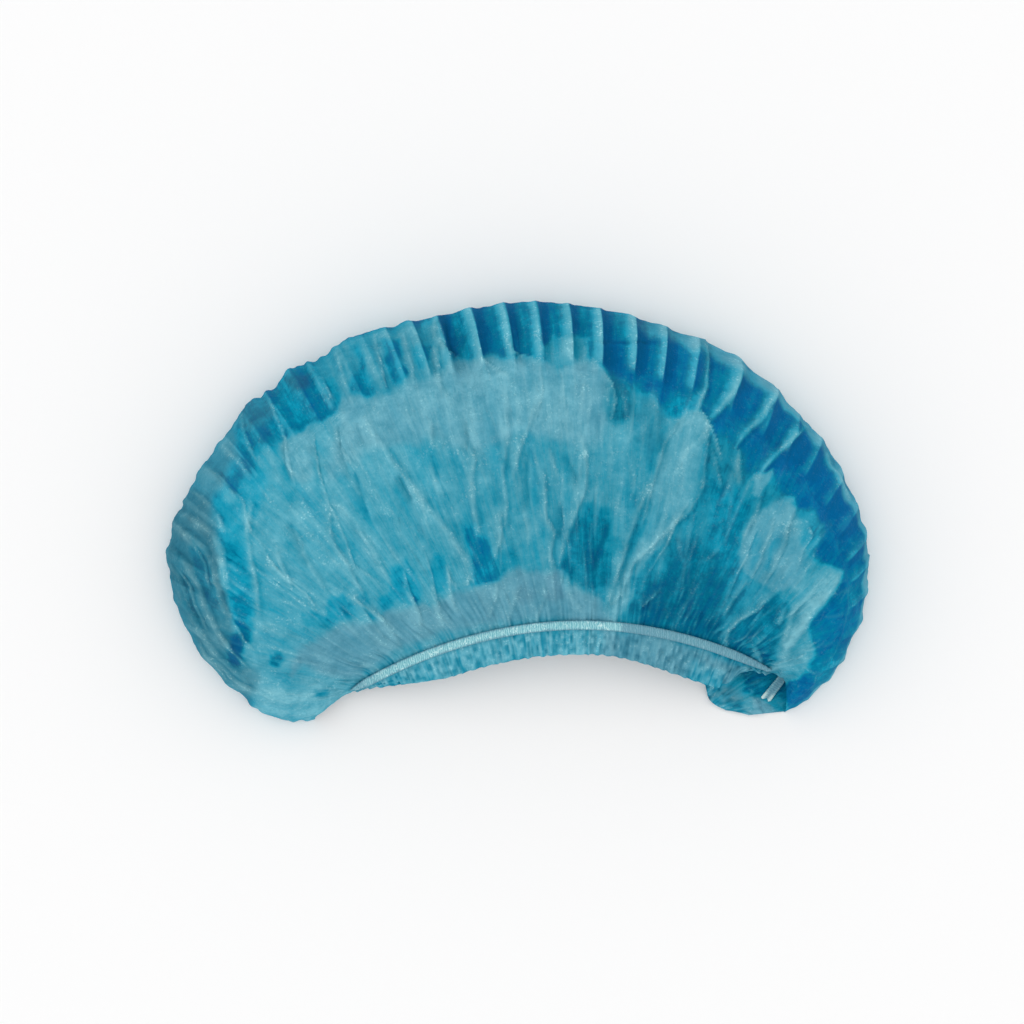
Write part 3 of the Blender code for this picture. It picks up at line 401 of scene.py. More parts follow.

# Single creases, crests where rise is over zero: name, half width and rise in millimetres, what each adds
# to the layers, with painted highlight on a crest and painted shade in a hollow, to the white fibres, a
# painted highlight along its crest, and to the painted shade, and its way in the same millimetres.
STROKES = [
    ("crest_a", 1.7, 0.8, -0.14, 0.3, 0, [(-35.5, 72.8), (-34.2, 54.9), (-27.8, 43.9)]),
    ("crest_b", 1.7, 0.7, -0.1, 0.3, 0, [(-37.6, 39.7), (-37.2, 26.9)]),
    ("crest_c", 2.1, 1, -0.14, 0.4, 0, [(-25.7, 32.5), (-19.3, 24), (-20.2, 13.4), (-18.5, -0.6), (-16.4,
     -11.7)]),
    ("crest_d", 2.1, 1.1, -0.14, 0.42, 0, [(-5.7, 54.9), (-5.3, 31.2), (-7.4, 17.2), (-5.3, 2.8), (-6.2,
     -7.4)]),
    ("crest_e", 2.1, 1, -0.12, 0.42, 0, [(8.3, 49.4), (4.9, 39.2), (1.9, 31.2), (-1.1, 24), (-2.8, 13.8)]),
    ("crest_f", 1.3, 0.6, -0.1, 0.34, 0, [(13, 26.9), (15.1, 18.5), (16.8, 15.1)]),
    ("crest_g", 1.7, 1.1, -0.14, 0.5, 0, [(10, 18), (11.7, -3.2), (14.7, -8.7), (13, -18.4), (15.9,
     -24.4)]),
    ("crest_h", 2.1, 1.2, -0.14, 0.48, 0, [(24.4, 34.6), (28.7, 25.7), (27.8, 11.2), (24.9, 3.2), (19.3,
     -12.1), (16.8, -22.7)]),
    ("crest_i", 2.5, 1.5, -0.14, 0.46, 0, [(-67.4, 41.4), (-57.2, 26.5), (-50.4, 17.2), (-41, 4.9), (-34.2,
     -3.2), (-27, -12.9), (-20.2, -22.7), (-19.8, -29.5)]),
    ("crest_j", 2.1, 1.1, -0.14, 0.48, 0, [(56.7, 18), (52.5, 5.3), (47, -8.7), (44.8, -18.4), (39.7,
     -32.9), (36.3, -41.4)]),
    ("crest_k", 2.1, 1.1, -0.14, 0.45, 0, [(79.7, 13.8), (72.9, 1.1), (59.7, -10), (48.2, -21.4), (43.6,
     -34.1), (37.2, -41.4)]),
    ("crest_l", 1.7, 0.9, -0.12, 0.34, 0, [(-8.3, 1.9), (-7.9, -8.7), (-10.4, -19.7)]),
    ("crest_m", 1.7, 0.7, -0.12, 0.36, 0, [(60.1, -32.4), (55, -37.1), (51.6, -40.5)]),
    ("crest_n", 1.7, 0.9, -0.12, 0.34, 0, [(-81.8, 5.3), (-79.3, -12.1), (-72.9, -22.7), (-64.8, -37.1)]),
    ("crest_o", 1.7, 0.8, -0.12, 0.34, 0, [(-69.1, -5.3), (-60.6, -19.3), (-55.9, -28.6)]),
    ("crest_p", 1.7, 0.7, -0.1, 0.3, 0, [(-103.9, -15.9), (-98.8, -26.5), (-96.3, -32.9)]),
    ("crest_q", 1.7, 0.8, -0.12, 0.32, 0, [(-95.8, -5.3), (-91.2, -18), (-85.2, -28.6), (-80.1, -37.1)]),
    ("crest_r", 1.5, 0.8, -0.16, 0.44, 0, [(-67.8, -36.3), (-58, -45.2), (-51.6, -54.5), (-48.7, -59.2)]),
    ("crest_s", 1.5, 0.7, -0.14, 0.4, 0, [(-70.8, -34.1), (-63.5, -46), (-57.2, -54.1)]),
    ("crest_t", 1.7, 0.8, -0.16, 0.44, 0, [(-49.1, -29.9), (-43.1, -42.6), (-41, -50.3)]),
    ("crest_u", 1.7, 0.8, -0.16, 0.42, 0, [(-37.6, -29.9), (-34.6, -40.5), (-32.1, -49)]),
    ("crest_v", 1.7, 0.8, -0.16, 0.4, 0, [(-30, -22.7), (-29.1, -33.7), (-27, -42.2)]),
    ("crest_w", 1.7, 0.7, -0.14, 0.4, 0, [(-9.1, -28.6), (-10, -37.1), (-13, -45.6)]),
    ("crest_x", 1.7, 0.6, -0.12, 0.36, 0, [(0.6, -30.7), (-1.9, -37.1), (-4.5, -45.6)]),
    ("crest_y", 1.5, 0.6, -0.12, 0.44, 0, [(9.6, -28.6), (11.3, -35.4), (9.1, -42.2), (7.4, -46.4)]),
    ("crest_z", 1.7, 0.7, -0.14, 0.4, 0, [(20.2, -26.1), (21.9, -35.4), (27, -42.2)]),
    ("left_line_one", 1, 0.7, -0.2, 0.5, 0, [(-89.9, 64.3), (-86.9, 57.9), (-83.5, 51.1), (-79.3, 43.5)]),
    ("left_line_two", 1, 0.7, -0.18, 0.45, 0, [(-107.3, 49.4), (-103.9, 41.8), (-99.7, 32)]),
    ("left_line_three", 1, 0.5, -0.14, 0.4, 0, [(-118.4, 42.2), (-117.1, 35), (-114.1, 28.2), (-111.6,
     21.4)]),
    ("fold_lap_edge", 1, 0.7, -0.26, 0.5, 0, [(-6.2, 74.9), (-2.3, 68.9), (0.6, 66.4), (6.2, 66)]),
    ("big_fold_edge", 1.3, 1, -0.22, 0.4, 0, [(-35.9, 82.5), (-35.5, 74.9), (-30.8, 68.9), (-25.7, 65.5)]),
    ("seam", 0.8, -0.3, 0.1, 0, 0.25, [(30.4, 71.9), (43.1, 72.3), (58.9, 72.3)]),
    ("right_ridge", 2.3, 1.6, -0.34, 0.45, 0, [(78.4, 74), (79.7, 64.7), (79.7, 53.7), (76.7, 46.9), (74.6,
     40.1)]),
    ("ray_one", 2.5, 1.4, -0.34, 0.36, 0, [(95.4, 62.6), (91.2, 50.7), (85.6, 44.3), (79.7, 38.4)]),
    ("ray_two", 2.3, 1.4, -0.3, 0.42, 0, [(110.3, 52), (103.9, 40.9), (95, 32.5), (90.7, 26.5)]),
    ("ray_three", 2.5, 1.3, -0.3, 0.36, 0, [(122.2, 37.1), (112.4, 27.4), (104.3, 19.7), (100.1, 13.8)]),
    ("ray_four", 1.7, 0.8, -0.26, 0.36, 0, [(130.7, 25.7), (132.4, 19.7), (136.6, 14.6), (141.7, 5.3)]),
    ("ray_five", 2.1, 1, -0.28, 0.34, 0, [(93.3, 27.4), (93.3, 18.9), (93.7, 11.2)]),
    ("thin_right_one", 1.3, 0.6, -0.14, 0.34, 0, [(81.8, 29.1), (83.9, 19.7), (86.1, 10.4)]),
    ("rib_edge_right", 1.7, 1.3, -0.12, 0.36, 0, [(75.9, 46.9), (79.7, 37.1), (79.7, 24.4), (78, 8.7)]),
    ("rib_edge_left", 1.7, 1.1, -0.1, 0.3, 0, [(71.2, 42.6), (63.5, 32.5), (58.4, 18), (54.6, 4), (51.6,
     -7.4)]),
    ("right_crest_one", 2.1, 1.1, -0.24, 0.52, 0, [(110.3, -32), (100.9, -41.4), (93.7, -45.2), (88.6,
     -51.1), (87.8, -58.3)]),
    ("right_crest_two", 1.9, 0.9, -0.2, 0.34, 0, [(97.5, -27.8), (91.2, -36.3), (86.9, -43.9)]),
    ("right_crest_three", 1.9, 0.8, -0.2, 0.36, 0, [(114.1, -39.7), (110.3, -47.3)]),
    ("right_crest_four", 1.7, 0.7, -0.18, 0.36, 0, [(105.6, -52), (99.7, -56.6), (102.6, -61.3), (104.3,
     -66)]),
    ("right_crest_five", 3.8, 1.5, -0.4, 0.44, 0, [(137.1, -23.5), (134.1, -31.2), (128.1, -38), (122.2,
     -45.6), (116.2, -54.1), (111.6, -62.6)]),
    ("right_crest_six", 2.1, 0.8, -0.18, 0.3, 0, [(119.6, -37.1), (115.4, -45.6), (112.8, -54.1)]),
    ("right_crest_seven", 1.7, 0.8, -0.2, 0.3, 0, [(102.6, 5.3), (99.2, -3.2), (94.1, -13.8)]),
    ("right_crest_eight", 1.7, 0.8, -0.16, 0.26, 0, [(117.5, 3.2), (114.5, -7.4), (109.4, -20.1), (104.3,
     -30.7)]),
    ("lobe_ridge", 2.5, 1.2, -0.2, 0.6, 0, [(-145.6, 0.6), (-136.2, -4), (-129.4, -9.5), (-126.4, -16.7),
     (-125.2, -24.4), (-123.5, -32.9)]),
    ("lobe_ridge_two", 2.1, 1, -0.14, 0.55, 0, [(-147.7, -4.4), (-139.6, -10), (-133.2, -15.5), (-129.8,
     -22.7), (-128.1, -30.3), (-126, -39.7), (-122.6, -49)]),
    ("lobe_ridge_three", 2.1, 0.8, -0.12, 0.5, 0, [(-149, -13.8), (-142.2, -21), (-137.1, -28.6), (-133.7,
     -38), (-129.4, -47.3), (-124.3, -56.2), (-119.2, -60.4)]),
    ("lobe_ridge_four", 2.1, 0.8, -0.1, 0.45, 0, [(-145.6, -32.9), (-140.5, -42.2), (-135.4, -50.7),
     (-129.4, -59.2), (-121.8, -66.8), (-114.1, -72.7)]),
    ("lobe_ridge_five", 1.7, 0.7, -0.14, 0.45, 0, [(-149.8, -20.1), (-144.7, -28.6), (-141.3, -37.1),
     (-137.1, -46.4)]),
    ("lobe_ridge_six", 1.7, 0.8, -0.1, 0.45, 0, [(-133.7, -58.3), (-126, -66), (-118.4, -72.7), (-110.7,
     -77)]),
    ("lace_one", 1.1, 0.5, -0.16, 0.62, 0, [(-143.9, -7.4), (-137.1, -14.2), (-132.8, -22.7), (-131.1,
     -32.9)]),
    ("lace_two", 1, 0.5, -0.16, 0.6, 0, [(-145.6, -22.7), (-140.5, -30.3), (-137.1, -39.7), (-132, -50.7)]),
    ("lace_three", 1, 0.5, -0.16, 0.62, 0, [(-130.3, -44.7), (-125.2, -54.1), (-118.4, -62.6), (-113.3,
     -67.7)]),
    ("lace_four", 1, 0.5, -0.14, 0.6, 0, [(-126, -36.3), (-121.8, -46.4), (-116.7, -54.1), (-111.6,
     -59.2)]),
    ("lace_five", 0.9, 0.4, -0.14, 0.56, 0, [(-136.2, -54.1), (-130.3, -62.6), (-122.6, -71.9)]),
    ("lace_six", 0.9, 0.4, -0.14, 0.56, 0, [(-110.7, -12.5), (-105.6, -20.1), (-99.7, -27.8), (-90.3,
     -34.1), (-85.6, -42.2)]),
    ("lace_seven", 1, 0.5, -0.16, 0.56, 0, [(-100.9, 38.4), (-98.8, 28.2), (-98, 20.6), (-95, 11.2)]),
    ("lace_eight", 0.9, 0.5, -0.14, 0.5, 0, [(-87.3, 35), (-85.6, 18.5), (-81, 4), (-75, -7.8), (-70.3,
     -22.3), (-57.2, -31.6)]),
    ("lace_nine", 0.9, 0.5, -0.14, 0.5, 0, [(-78.4, 37.1), (-76.3, 27.8), (-69.1, 18.5)]),
    ("lace_ten", 0.9, 0.5, -0.14, 0.54, 0, [(-40.2, -17.2), (-37.6, -25.2), (-35.5, -34.1), (-33.4,
     -41.4)]),
    ("lace_eleven", 0.9, 0.5, -0.14, 0.54, 0, [(-48.7, -24.4), (-46.1, -34.1), (-41.4, -46)]),
    ("lace_twelve", 0.8, 0.4, -0.14, 0.56, 0, [(-30.8, -22.3), (-29.1, -28.6), (-26.1, -31.6), (-21.9,
     -29.5), (-20.2, -24.4)]),
    ("lace_thirteen", 0.8, 0.4, -0.12, 0.5, 0, [(-123.9, 11.2), (-116.7, 4), (-113.3, -12.5)]),
    ("lace_fourteen", 0.8, 0.4, -0.14, 0.56, 0, [(9.1, 62.2), (10, 51.1), (7.4, 39.2)]),
    ("lace_fifteen", 0.8, 0.4, -0.14, 0.56, 0, [(18.5, 59.6), (19.3, 47.7), (21.9, 37.5)]),
    ("lace_sixteen", 0.8, 0.4, -0.12, 0.5, 0, [(72.9, 5.3), (66.9, -4.9), (61.8, -15.1), (55, -25.2)]),
    ("lace_seventeen", 0.9, 0.5, -0.12, 0.5, 0, [(109.4, 1.9), (106.9, -9.1), (102.6, -20.1), (96.7,
     -32.9)]),
    ("lace_eighteen", 0.9, 0.5, -0.12, 0.5, 0, [(115.4, -0.6), (113.7, -12.5), (109.4, -22.7), (103.5,
     -32.9)]),
    ("lace_nineteen", 0.9, 0.5, -0.12, 0.5, 0, [(101.4, -6.6), (97.5, -16.7), (92.4, -26.9), (88.2,
     -37.1)]),
    ("lace_twenty", 0.9, 0.5, -0.12, 0.54, 0, [(122.2, -3.2), (124.7, -10), (120.5, -16.7), (117.9,
     -26.1)]),
    ("lace_edge", 1, 0.5, -0.2, 0.6, 0, [(77.1, 43.5), (80.5, 37.5), (83.9, 30.8), (86.5, 21.4)]),
    ("lace_corner", 1, 0.5, -0.2, 0.6, 0, [(36.3, 59.6), (39.7, 54.5), (41.4, 47.7), (39.7, 39.2)]),
    ("lace_middle", 0.9, 0.5, -0.14, 0.54, 0, [(-17.2, 68.1), (-13, 63), (-7.9, 59.6), (-2.8, 56.2)]),
    ("lace_low", 0.9, 0.5, -0.14, 0.54, 0, [(-70.8, -36.3), (-62.3, -42.2), (-55.5, -46.4), (-49.5,
     -52.4)]),
    ("veil_lace_one", 1, 0.4, -0.1, 0.6, 0, [(-84.8, 59.6), (-82.2, 53.7), (-78.4, 46.9)]),
    ("veil_lace_two", 1.3, 0.5, -0.1, 0.6, 0, [(-77.6, 68.1), (-75, 60.5), (-73.3, 53.7), (-70.8, 46)]),
    ("veil_lace_three", 1, 0.4, -0.1, 0.56, 0, [(-61.4, 74.9), (-59.7, 68.1), (-58, 58.8), (-56.3, 52)]),
    ("veil_lace_four", 1, 0.4, -0.1, 0.56, 0, [(-49.1, 76.6), (-47, 68.9), (-45.3, 61.3), (-44.4, 54.5)]),
    ("veil_lace_five", 0.9, 0.4, -0.1, 0.52, 0, [(-36.8, 70.6), (-35.1, 63.8), (-30.8, 57.9)]),
    ("flank_ridge_one", 1.7, 0.8, -0.14, 0.45, 0, [(-140.5, 9.6), (-133.7, 5.3), (-127.7, -1.5), (-124.3,
     -9.1)]),
    ("flank_ridge_two", 1.7, 0.7, -0.14, 0.45, 0, [(-133.2, 19.7), (-126, 13.8), (-120.1, 6.2)]),
    ("flank_ridge_three", 1.7, 0.7, -0.12, 0.4, 0, [(-126, 29.1), (-119.2, 21.4), (-114.1, 13.8)]),
    ("stream_crest", 1.7, 0.6, -0.16, 0.4, 0, [(-113.3, 5.3), (-115.8, -7.4), (-114.1, -20.1), (-111.6,
     -32.9), (-110.7, -45.6)]),
    ("pleat_shadow_one", 2.1, -1, 0.16, 0, 0.3, [(-51.6, 16.3), (-48.7, 10.4), (-45.3, 4.5)]),
    ("pleat_shadow_two", 1.1, -0.6, 0.14, 0, 0.2, [(-99.7, 32.5), (-99.7, 20.6), (-95.8, 12.9)]),
    ("pleat_shadow_three", 1.7, -0.7, 0.12, 0, 0.15, [(-86.9, 35), (-85.6, 20.6), (-82.7, 11.2)]),
    ("pleat_shadow_four", 1.7, -0.7, 0.12, 0, 0.15, [(-77.1, 37.5), (-75.4, 24), (-71.6, 13.8)]),
    ("pleat_shadow_five", 1.7, -0.6, 0.12, 0, 0.12, [(-69.1, 37.5), (-65.7, 28.2)]),
    ("pleat_shadow_six", 2.1, -0.8, 0.14, 0, 0.16, [(-22.3, 39.2), (-21.5, 30.8), (-22.3, 25.7)]),
    ("pleat_shadow_seven", 3, -1, 0.12, 0, 0.16, [(-97.1, -3.2), (-93.7, -13.8), (-89.5, -22.7)]),
    ("pleat_shadow_eight", 2.5, -0.9, 0.12, 0, 0.14, [(-70.8, 18), (-66.5, 5.3), (-63.1, -5.3)]),
    ("pleat_shadow_nine", 2.5, -1, 0.14, 0, 0.18, [(19.8, 24.4), (24, 15.9), (25.3, 8.7)]),
    ("pleat_shadow_ten", 2.5, -0.8, 0.12, 0, 0.16, [(4, 26.5), (3.2, 13.8), (4, 1.1)]),
    ("pleat_shadow_eleven", 2.5, -0.8, 0.12, 0, 0.16, [(17.6, 5.3), (18.1, -3.2), (16.8, -11.7)]),
    ("pleat_shadow_twelve", 3.4, -1, 0.12, 0, 0.1, [(38.9, -3.2), (34.6, -13.8), (31.2, -24.4)]),
    ("pocket_lip", 1.3, 0.8, -0.1, 0.25, 0, [(77.1, -64.7), (87.8, -66), (96.3, -66.4), (102.6, -67.2),
     (109.4, -69.8), (116.2, -69.4)]),
]


def clear_selection():
    """Deselect everything, so that an operator works on the new piece alone."""
    bpy.ops.object.select_all(action="DESELECT")


def ease(share):
    """Ease from 0 to 1 with level ends."""
    share = np.clip(share, 0.0, 1.0)
    return share * share * (3 - 2 * share)


def soft_noise(x, y, seed):
    """Soft random hills one unit wide, between -1 and 1."""
    size = 256
    table = np.random.default_rng(seed).uniform(-1, 1, (size, size))
    left = np.floor(x).astype(int)
    low = np.floor(y).astype(int)
    part_x = ease(x - left)
    part_y = ease(y - low)
    lower = table[left % size, low % size] * (1 - part_x) + table[(left + 1) % size, low % size] * part_x
    upper = table[left % size, (low + 1) % size] * (1 - part_x)
    upper = upper + table[(left + 1) % size, (low + 1) % size] * part_x
    return lower * (1 - part_y) + upper * part_y


def through(values, place):
    """A smooth curve through equally spaced values, read at places counted in values."""
    last = len(values) - 1
    index = np.clip(place.astype(int), 0, last - 1)
    part = place - index
    before = values[np.maximum(index - 1, 0)]
    start = values[index]
    end = values[index + 1]
    after = values[np.minimum(index + 2, last)]
    return 0.5 * (
        2 * start
        + (end - before) * part
        + (2 * before - 5 * start + 4 * end - after) * part**2
        + (3 * start - before - 3 * end + after) * part**3
    )


def on_plan(across, up):
    """A point of the plan from its shares of the cap's length and depth."""
    return np.stack([across * CAP_LENGTH, (up - 0.5) * CAP_DEPTH], axis=-1)


def unit(vectors):
    """The same directions, each one long."""
    return vectors / np.maximum(np.linalg.norm(vectors, axis=-1, keepdims=True), 1e-9)


def make_columns():
    """Columns of the fabric, equally spaced round the outer fold, with the height of the pleats' wave."""
    steps = STEPS_PER_STATION * (len(STATIONS) - 1)
    places = np.linspace(0, len(STATIONS) - 1, steps + 1)
    points = on_plan(through(STATIONS[:, 0], places), through(STATIONS[:, 1], places))
    lengths = np.concatenate([[0.0], np.cumsum(np.linalg.norm(np.diff(points, axis=0), axis=1))])
    shares = np.linspace(0, 1, COLUMN_COUNT + 1)
    place = np.interp(shares * lengths[-1], lengths, places)
    crests = np.array(CREST_SHARES)
    pleats = np.interp(shares, crests, np.arange(len(crests)))
    dice = random.Random(PLEAT_SEED)
    strengths = np.array([dice.uniform(*PLEAT_STRENGTHS) for _ in range(len(crests) + 1)])
    number = np.minimum(pleats.astype(int), len(crests) - 2)
    past = pleats - number
    climb = np.clip((past - STEEP_SIDE) / (1 - STEEP_SIDE), 0, 1)
    wave = np.where(past < STEEP_SIDE, 1 - 2 * ease(past / STEEP_SIDE), 1.1 * climb + 0.9 * ease(climb) - 1)
    strength = strengths[number] * (1 - past) + strengths[number + 1] * past
    contrast = through(BAND_CONTRAST, place)
    rolled = np.cos(2 * math.pi * past)
    wave = (rolled + (wave - rolled) * np.clip(contrast, 0, 1)) * through(PLEAT_SHOW, place)
    return {
        "pleats": pleats,
        "place": place,
        "outline": on_plan(through(STATIONS[:, 0], place), through(STATIONS[:, 1], place)),
        "rim": np.clip(through(STATIONS[:, 2], place), 0.0, 1.0),
        "height": through(STATIONS[:, 3], place) * CROWN_HEIGHT,
        "pleat": through(STATIONS[:, 4], place) * PLEAT_DEPTH / 2,
        "wave": wave * strength,
        "past": past,
        "contrast": contrast,
        "fold_length": lengths[-1],
    }


def rim_points(share, side):
    """The front or back rim on the plan."""
    corners = FRONT_CORNERS if side == "front" else BACK_CORNERS
    left, right = [on_plan(*corner) for corner in corners]
    rise = FRONT_RIM_RISE + (BACK_RIM_SETBACK if side == "back" else 0.0)
    line = left + (right - left) * share[:, None]
    line[:, 1] += rise * 4 * share * (1 - share)
    return line


def rim_inwards(columns, side):
    """The direction on the plan from the rim into the crown."""
    ahead = rim_points(np.minimum(columns["rim"] + RIM_STEP, 1.0), side)
    behind = rim_points(np.maximum(columns["rim"] - RIM_STEP, 0.0), side)
    run = unit(ahead - behind)
    rib = unit(columns["outline"] - rim_points(columns["rim"], side))
    turn = 1 - ease(np.minimum(columns["rim"], 1 - columns["rim"]) / CORNER_TURN)
    square = np.stack([-run[:, 1], run[:, 0]], axis=-1)
    return unit(square + (rib - square) * turn[:, None])


def rim_heights(share, side):
    """The height of the rim's wall above the floor."""
    under_elastic = ELASTIC_THICKNESS + SEAT_GAP + WALL / 2
    arch = np.sin(math.pi * share)
    if side == "back":
        return under_elastic + BACK_RIM_LIFT * arch
    return under_elastic + CORNER_GAP + FRONT_RIM_LIFT * np.maximum(arch, 0.0) ** RIM_FULLNESS


def hem_shares(share, side):
    """How wide the hem is along the rim, as a share of its full width."""
    grown, kept, gone = FRONT_HEM_SPAN if side == "front" else BACK_HEM_SPAN
    width = np.maximum(ease(share / grown) * ease((gone - share) / (gone - kept)), LEAST_HEM)
    if side == "front":
        start, run, more = WIDER_HEM
        return width * (1 + more * ease((share - start) / run))
    start, run, less = HIDDEN_HEM
    return width * (1 - less * ease((start + run - share) / run) * ease((share - 0.5) / 0.2))


def band_shares(share, side):
    """How wide the stitched band is along the rim."""
    left = LEAST_BAND + (1 - LEAST_BAND) * ease(share / (CORNER_TURN / 2))
    turn = CORNER_TURN if side == "front" else CORNER_TURN / 2
    right = LEAST_BAND + (1 - LEAST_BAND) * ease((1 - share) / turn)
    return np.minimum(left, right)


def fold_rises(place, along):
    """How far the larger folds lift the front."""
    rise = np.zeros_like(place)
    for at, half_width, start, stop, height in FOLDS:
        middle = (start + stop) / 2
        half_length = (stop - start) / 2
        across = ease(1 - np.abs(place - at) / half_width)
        rise = rise + height * across * ease(2 - 2 * np.abs(along - middle) / half_length)
    return rise * CROWN_HEIGHT


def fabric_row(columns, row):
    """One row of the smooth fabric: its points, their share of the way out, and the way a pleat stands."""
    name, along, clear, hem, height_share, facing, _, _ = row
    side = name.split("_")[0]
    rim = rim_points(columns["rim"], side)
    inwards = rim_inwards(columns, side)
    base = rim_heights(columns["rim"], side)
    half_band = (ELASTIC_WIDTH / 2 + EDGE_CLEARANCE) * band_shares(columns["rim"], side)
    slope = RIM_SLOPE if side == "front" else 0.0
    if "elastic" in name or hem > 0:
        reach = half_band
        if not name.endswith("high"):
            reach = -half_band - hem * HEM_WIDTH * hem_shares(columns["rim"], side)
        outwards = inwards if name.endswith("high") else -inwards
        plan = rim + inwards * reach[:, None]
        height = base + slope * reach
        share = np.zeros_like(base)
    else:
        rib = columns["outline"] - rim
        length = np.linalg.norm(rib, axis=1)
        outwards = unit(rib)
        share = np.minimum(along, 1 - clear * WALL / length)
        plan = rim + rib * share[:, None]
        height = height_share * columns["height"]
        if side == "front":
            height = height + (1 - share) ** 2 * base + fold_rises(columns["place"], share)
        height = np.maximum(height, WALL / 2)
    angle = math.radians(facing)
    stand = np.concatenate([outwards * math.cos(angle), np.full((len(plan), 1), math.sin(angle))], axis=1)
    return np.concatenate([plan, height[:, None]], axis=1), share, stand


def between_rows(values, distances, steps):
    """Finer rows between the given ones, on smooth curves that allow for the rows' different distances."""
    gaps = np.maximum(distances, 1e-6)
    slopes = (values[1:] - values[:-1]) / gaps
    tangents = np.empty_like(values)
    tangents[0] = slopes[0]
    tangents[-1] = slopes[-1]
    tangents[1:-1] = (slopes[1:] * gaps[:-1] + slopes[:-1] * gaps[1:]) / (gaps[1:] + gaps[:-1])
    finer = []
    for index, count in enumerate(steps):
        for step in range(count):
            t = step / count
            finer.append(
                (2 * t**3 - 3 * t**2 + 1) * values[index]
                + (t**3 - 2 * t**2 + t) * gaps[index] * tangents[index]
                + (3 * t**2 - 2 * t**3) * values[index + 1]
                + (t**3 - t**2) * gaps[index] * tangents[index + 1]
            )
    finer.append(values[-1])
    return np.array(finer)


def straight_between_rows(values, steps):
    """Finer rows between the given ones, on straight lines."""
    finer = []
    for index, count in enumerate(steps):
        for step in range(count):
            finer.append(values[index] + (values[index + 1] - values[index]) * step / count)
    finer.append(values[-1])
    return np.array(finer)


def grid_normals(points):
    """The outward normal of a grid of points, row by column."""
    along_rows = np.gradient(points, axis=0)
    along_columns = np.gradient(points, axis=1)
    return unit(np.cross(along_columns, along_rows))


def smooth_fabric(columns):
    """The cap's fabric with nothing but its form and its larger folds, as a fine grid."""
    rows = [fabric_row(columns, row) for row in ROWS]
    points = np.array([row[0] for row in rows])
    steps = [row[7] for row in ROWS[:-1]]
    distances = np.linalg.norm(np.diff(points, axis=0), axis=2)[:, :, None]
    shares = np.array([row[1] for row in rows])
    shares[[row[0].startswith("back") for row in ROWS]] *= -1
    stands = np.array([row[2] for row in rows])
    depths = np.repeat(np.array([row[6] for row in ROWS])[:, None], len(columns["rim"]), axis=1)
    sides = np.array([1.0 if row[0].startswith("front") else -1.0 for row in ROWS])
    return {
        "points": between_rows(points, distances, steps),
        "along": straight_between_rows(np.abs(shares), steps),
        "stand": unit(straight_between_rows(stands, steps)),
        "depth": straight_between_rows(depths, steps),
        "front": straight_between_rows(sides, steps)[:, None],
    }


def fold_profile(past, gentle, steep):
    """A small lapped fold across its crest at zero: a gentle climb before it and a steep drop past it."""
    before = np.clip(1 + past / gentle, 0, 1) ** 1.6
    after = ease(1 - past / steep)
    return np.where(past < 0, before, after)


def streak_relief(columns, along):
    """Thin lapped folds that run from the gathers towards the crease, each on its own slightly bent way."""
    dice = random.Random(STREAK_SEED)
    pleats = columns["pleats"]
    relief = np.zeros_like(along)
    lines = np.zeros_like(along)
    for _ in range(STREAK_COUNT):
        at = dice.uniform(1.0, len(CREST_SHARES) - 2.0)
        start = dice.uniform(-0.05, 0.72)
        stop = start + dice.uniform(0.07, 0.34)
        gentle = dice.uniform(0.10, 0.50)
        steep = dice.uniform(0.05, 0.12)
        lean = dice.uniform(-0.7, 0.7)
        bend = dice.uniform(-0.9, 0.9)
        height = dice.choice([-0.8, 1, 1]) * dice.uniform(0.15, 0.85)
        facing = dice.choice([-1, 1, 1])
        share = (along - start) / (stop - start)
        middle = at + lean * (share - 0.5) + bend * (share * (1 - share))
        past = (pleats[None, :] - middle) * facing
        along_it = np.clip(4 * share * (1 - share), 0, 1) ** 0.7
        relief += height * fold_profile(past, gentle, steep) * along_it
        # How close each point lies to a raised fold's crest, where a painted highlight goes.
        lines += max(height, 0) * np.clip(1 - np.abs(past + 0.03) / 0.11, 0, 1) * along_it
    return relief, lines


def across_line(x, y, points, width):
    """A lapped fold along a line: its relief, steep to the east or to the west if the width is negative, how
    close each point lies to its crest, and how close it lies to the foot of the steep side, where the creases
    paint shade. All three fade out at the line's ends."""
    points = np.array(points)
    legs = np.linalg.norm(np.diff(points, axis=0), axis=1)
    starts = np.concatenate([[0], np.cumsum(legs)])
    nearest = np.full_like(x, 1e9)
    past = np.zeros_like(x)
    share = np.zeros_like(x)
    for (x0, y0), (x1, y1), leg, start in zip(points, points[1:], legs, starts):
        run = np.array([x1 - x0, y1 - y0]) / leg
        part = np.clip((x - x0) * run[0] + (y - y0) * run[1], 0, leg)
        gap = np.hypot(x - x0 - part * run[0], y - y0 - part * run[1])
        east = np.array([-run[1], run[0]]) * (1 if run[1] < 0 else -1)
        side = np.sign((x - x0) * east[0] + (y - y0) * east[1])
        closer = gap < nearest
        nearest = np.where(closer, gap, nearest)
        past = np.where(closer, gap * side, past)
        share = np.where(closer, (start + part) / starts[-1], share)
    fade = np.sqrt(np.clip(np.minimum(share, 1 - share) * 5, 0, 1))
    wide = abs(width)
    relief = fold_profile(past * np.sign(width), 2.2 * wide, 0.55 * wide) * fade
    crest = np.clip(1 - nearest / (0.75 * wide), 0, 1) * fade
    foot = np.clip(1 - np.abs(past * np.sign(width) - 0.8 * wide) / (0.7 * wide), 0, 1) * fade
    return relief, crest, foot


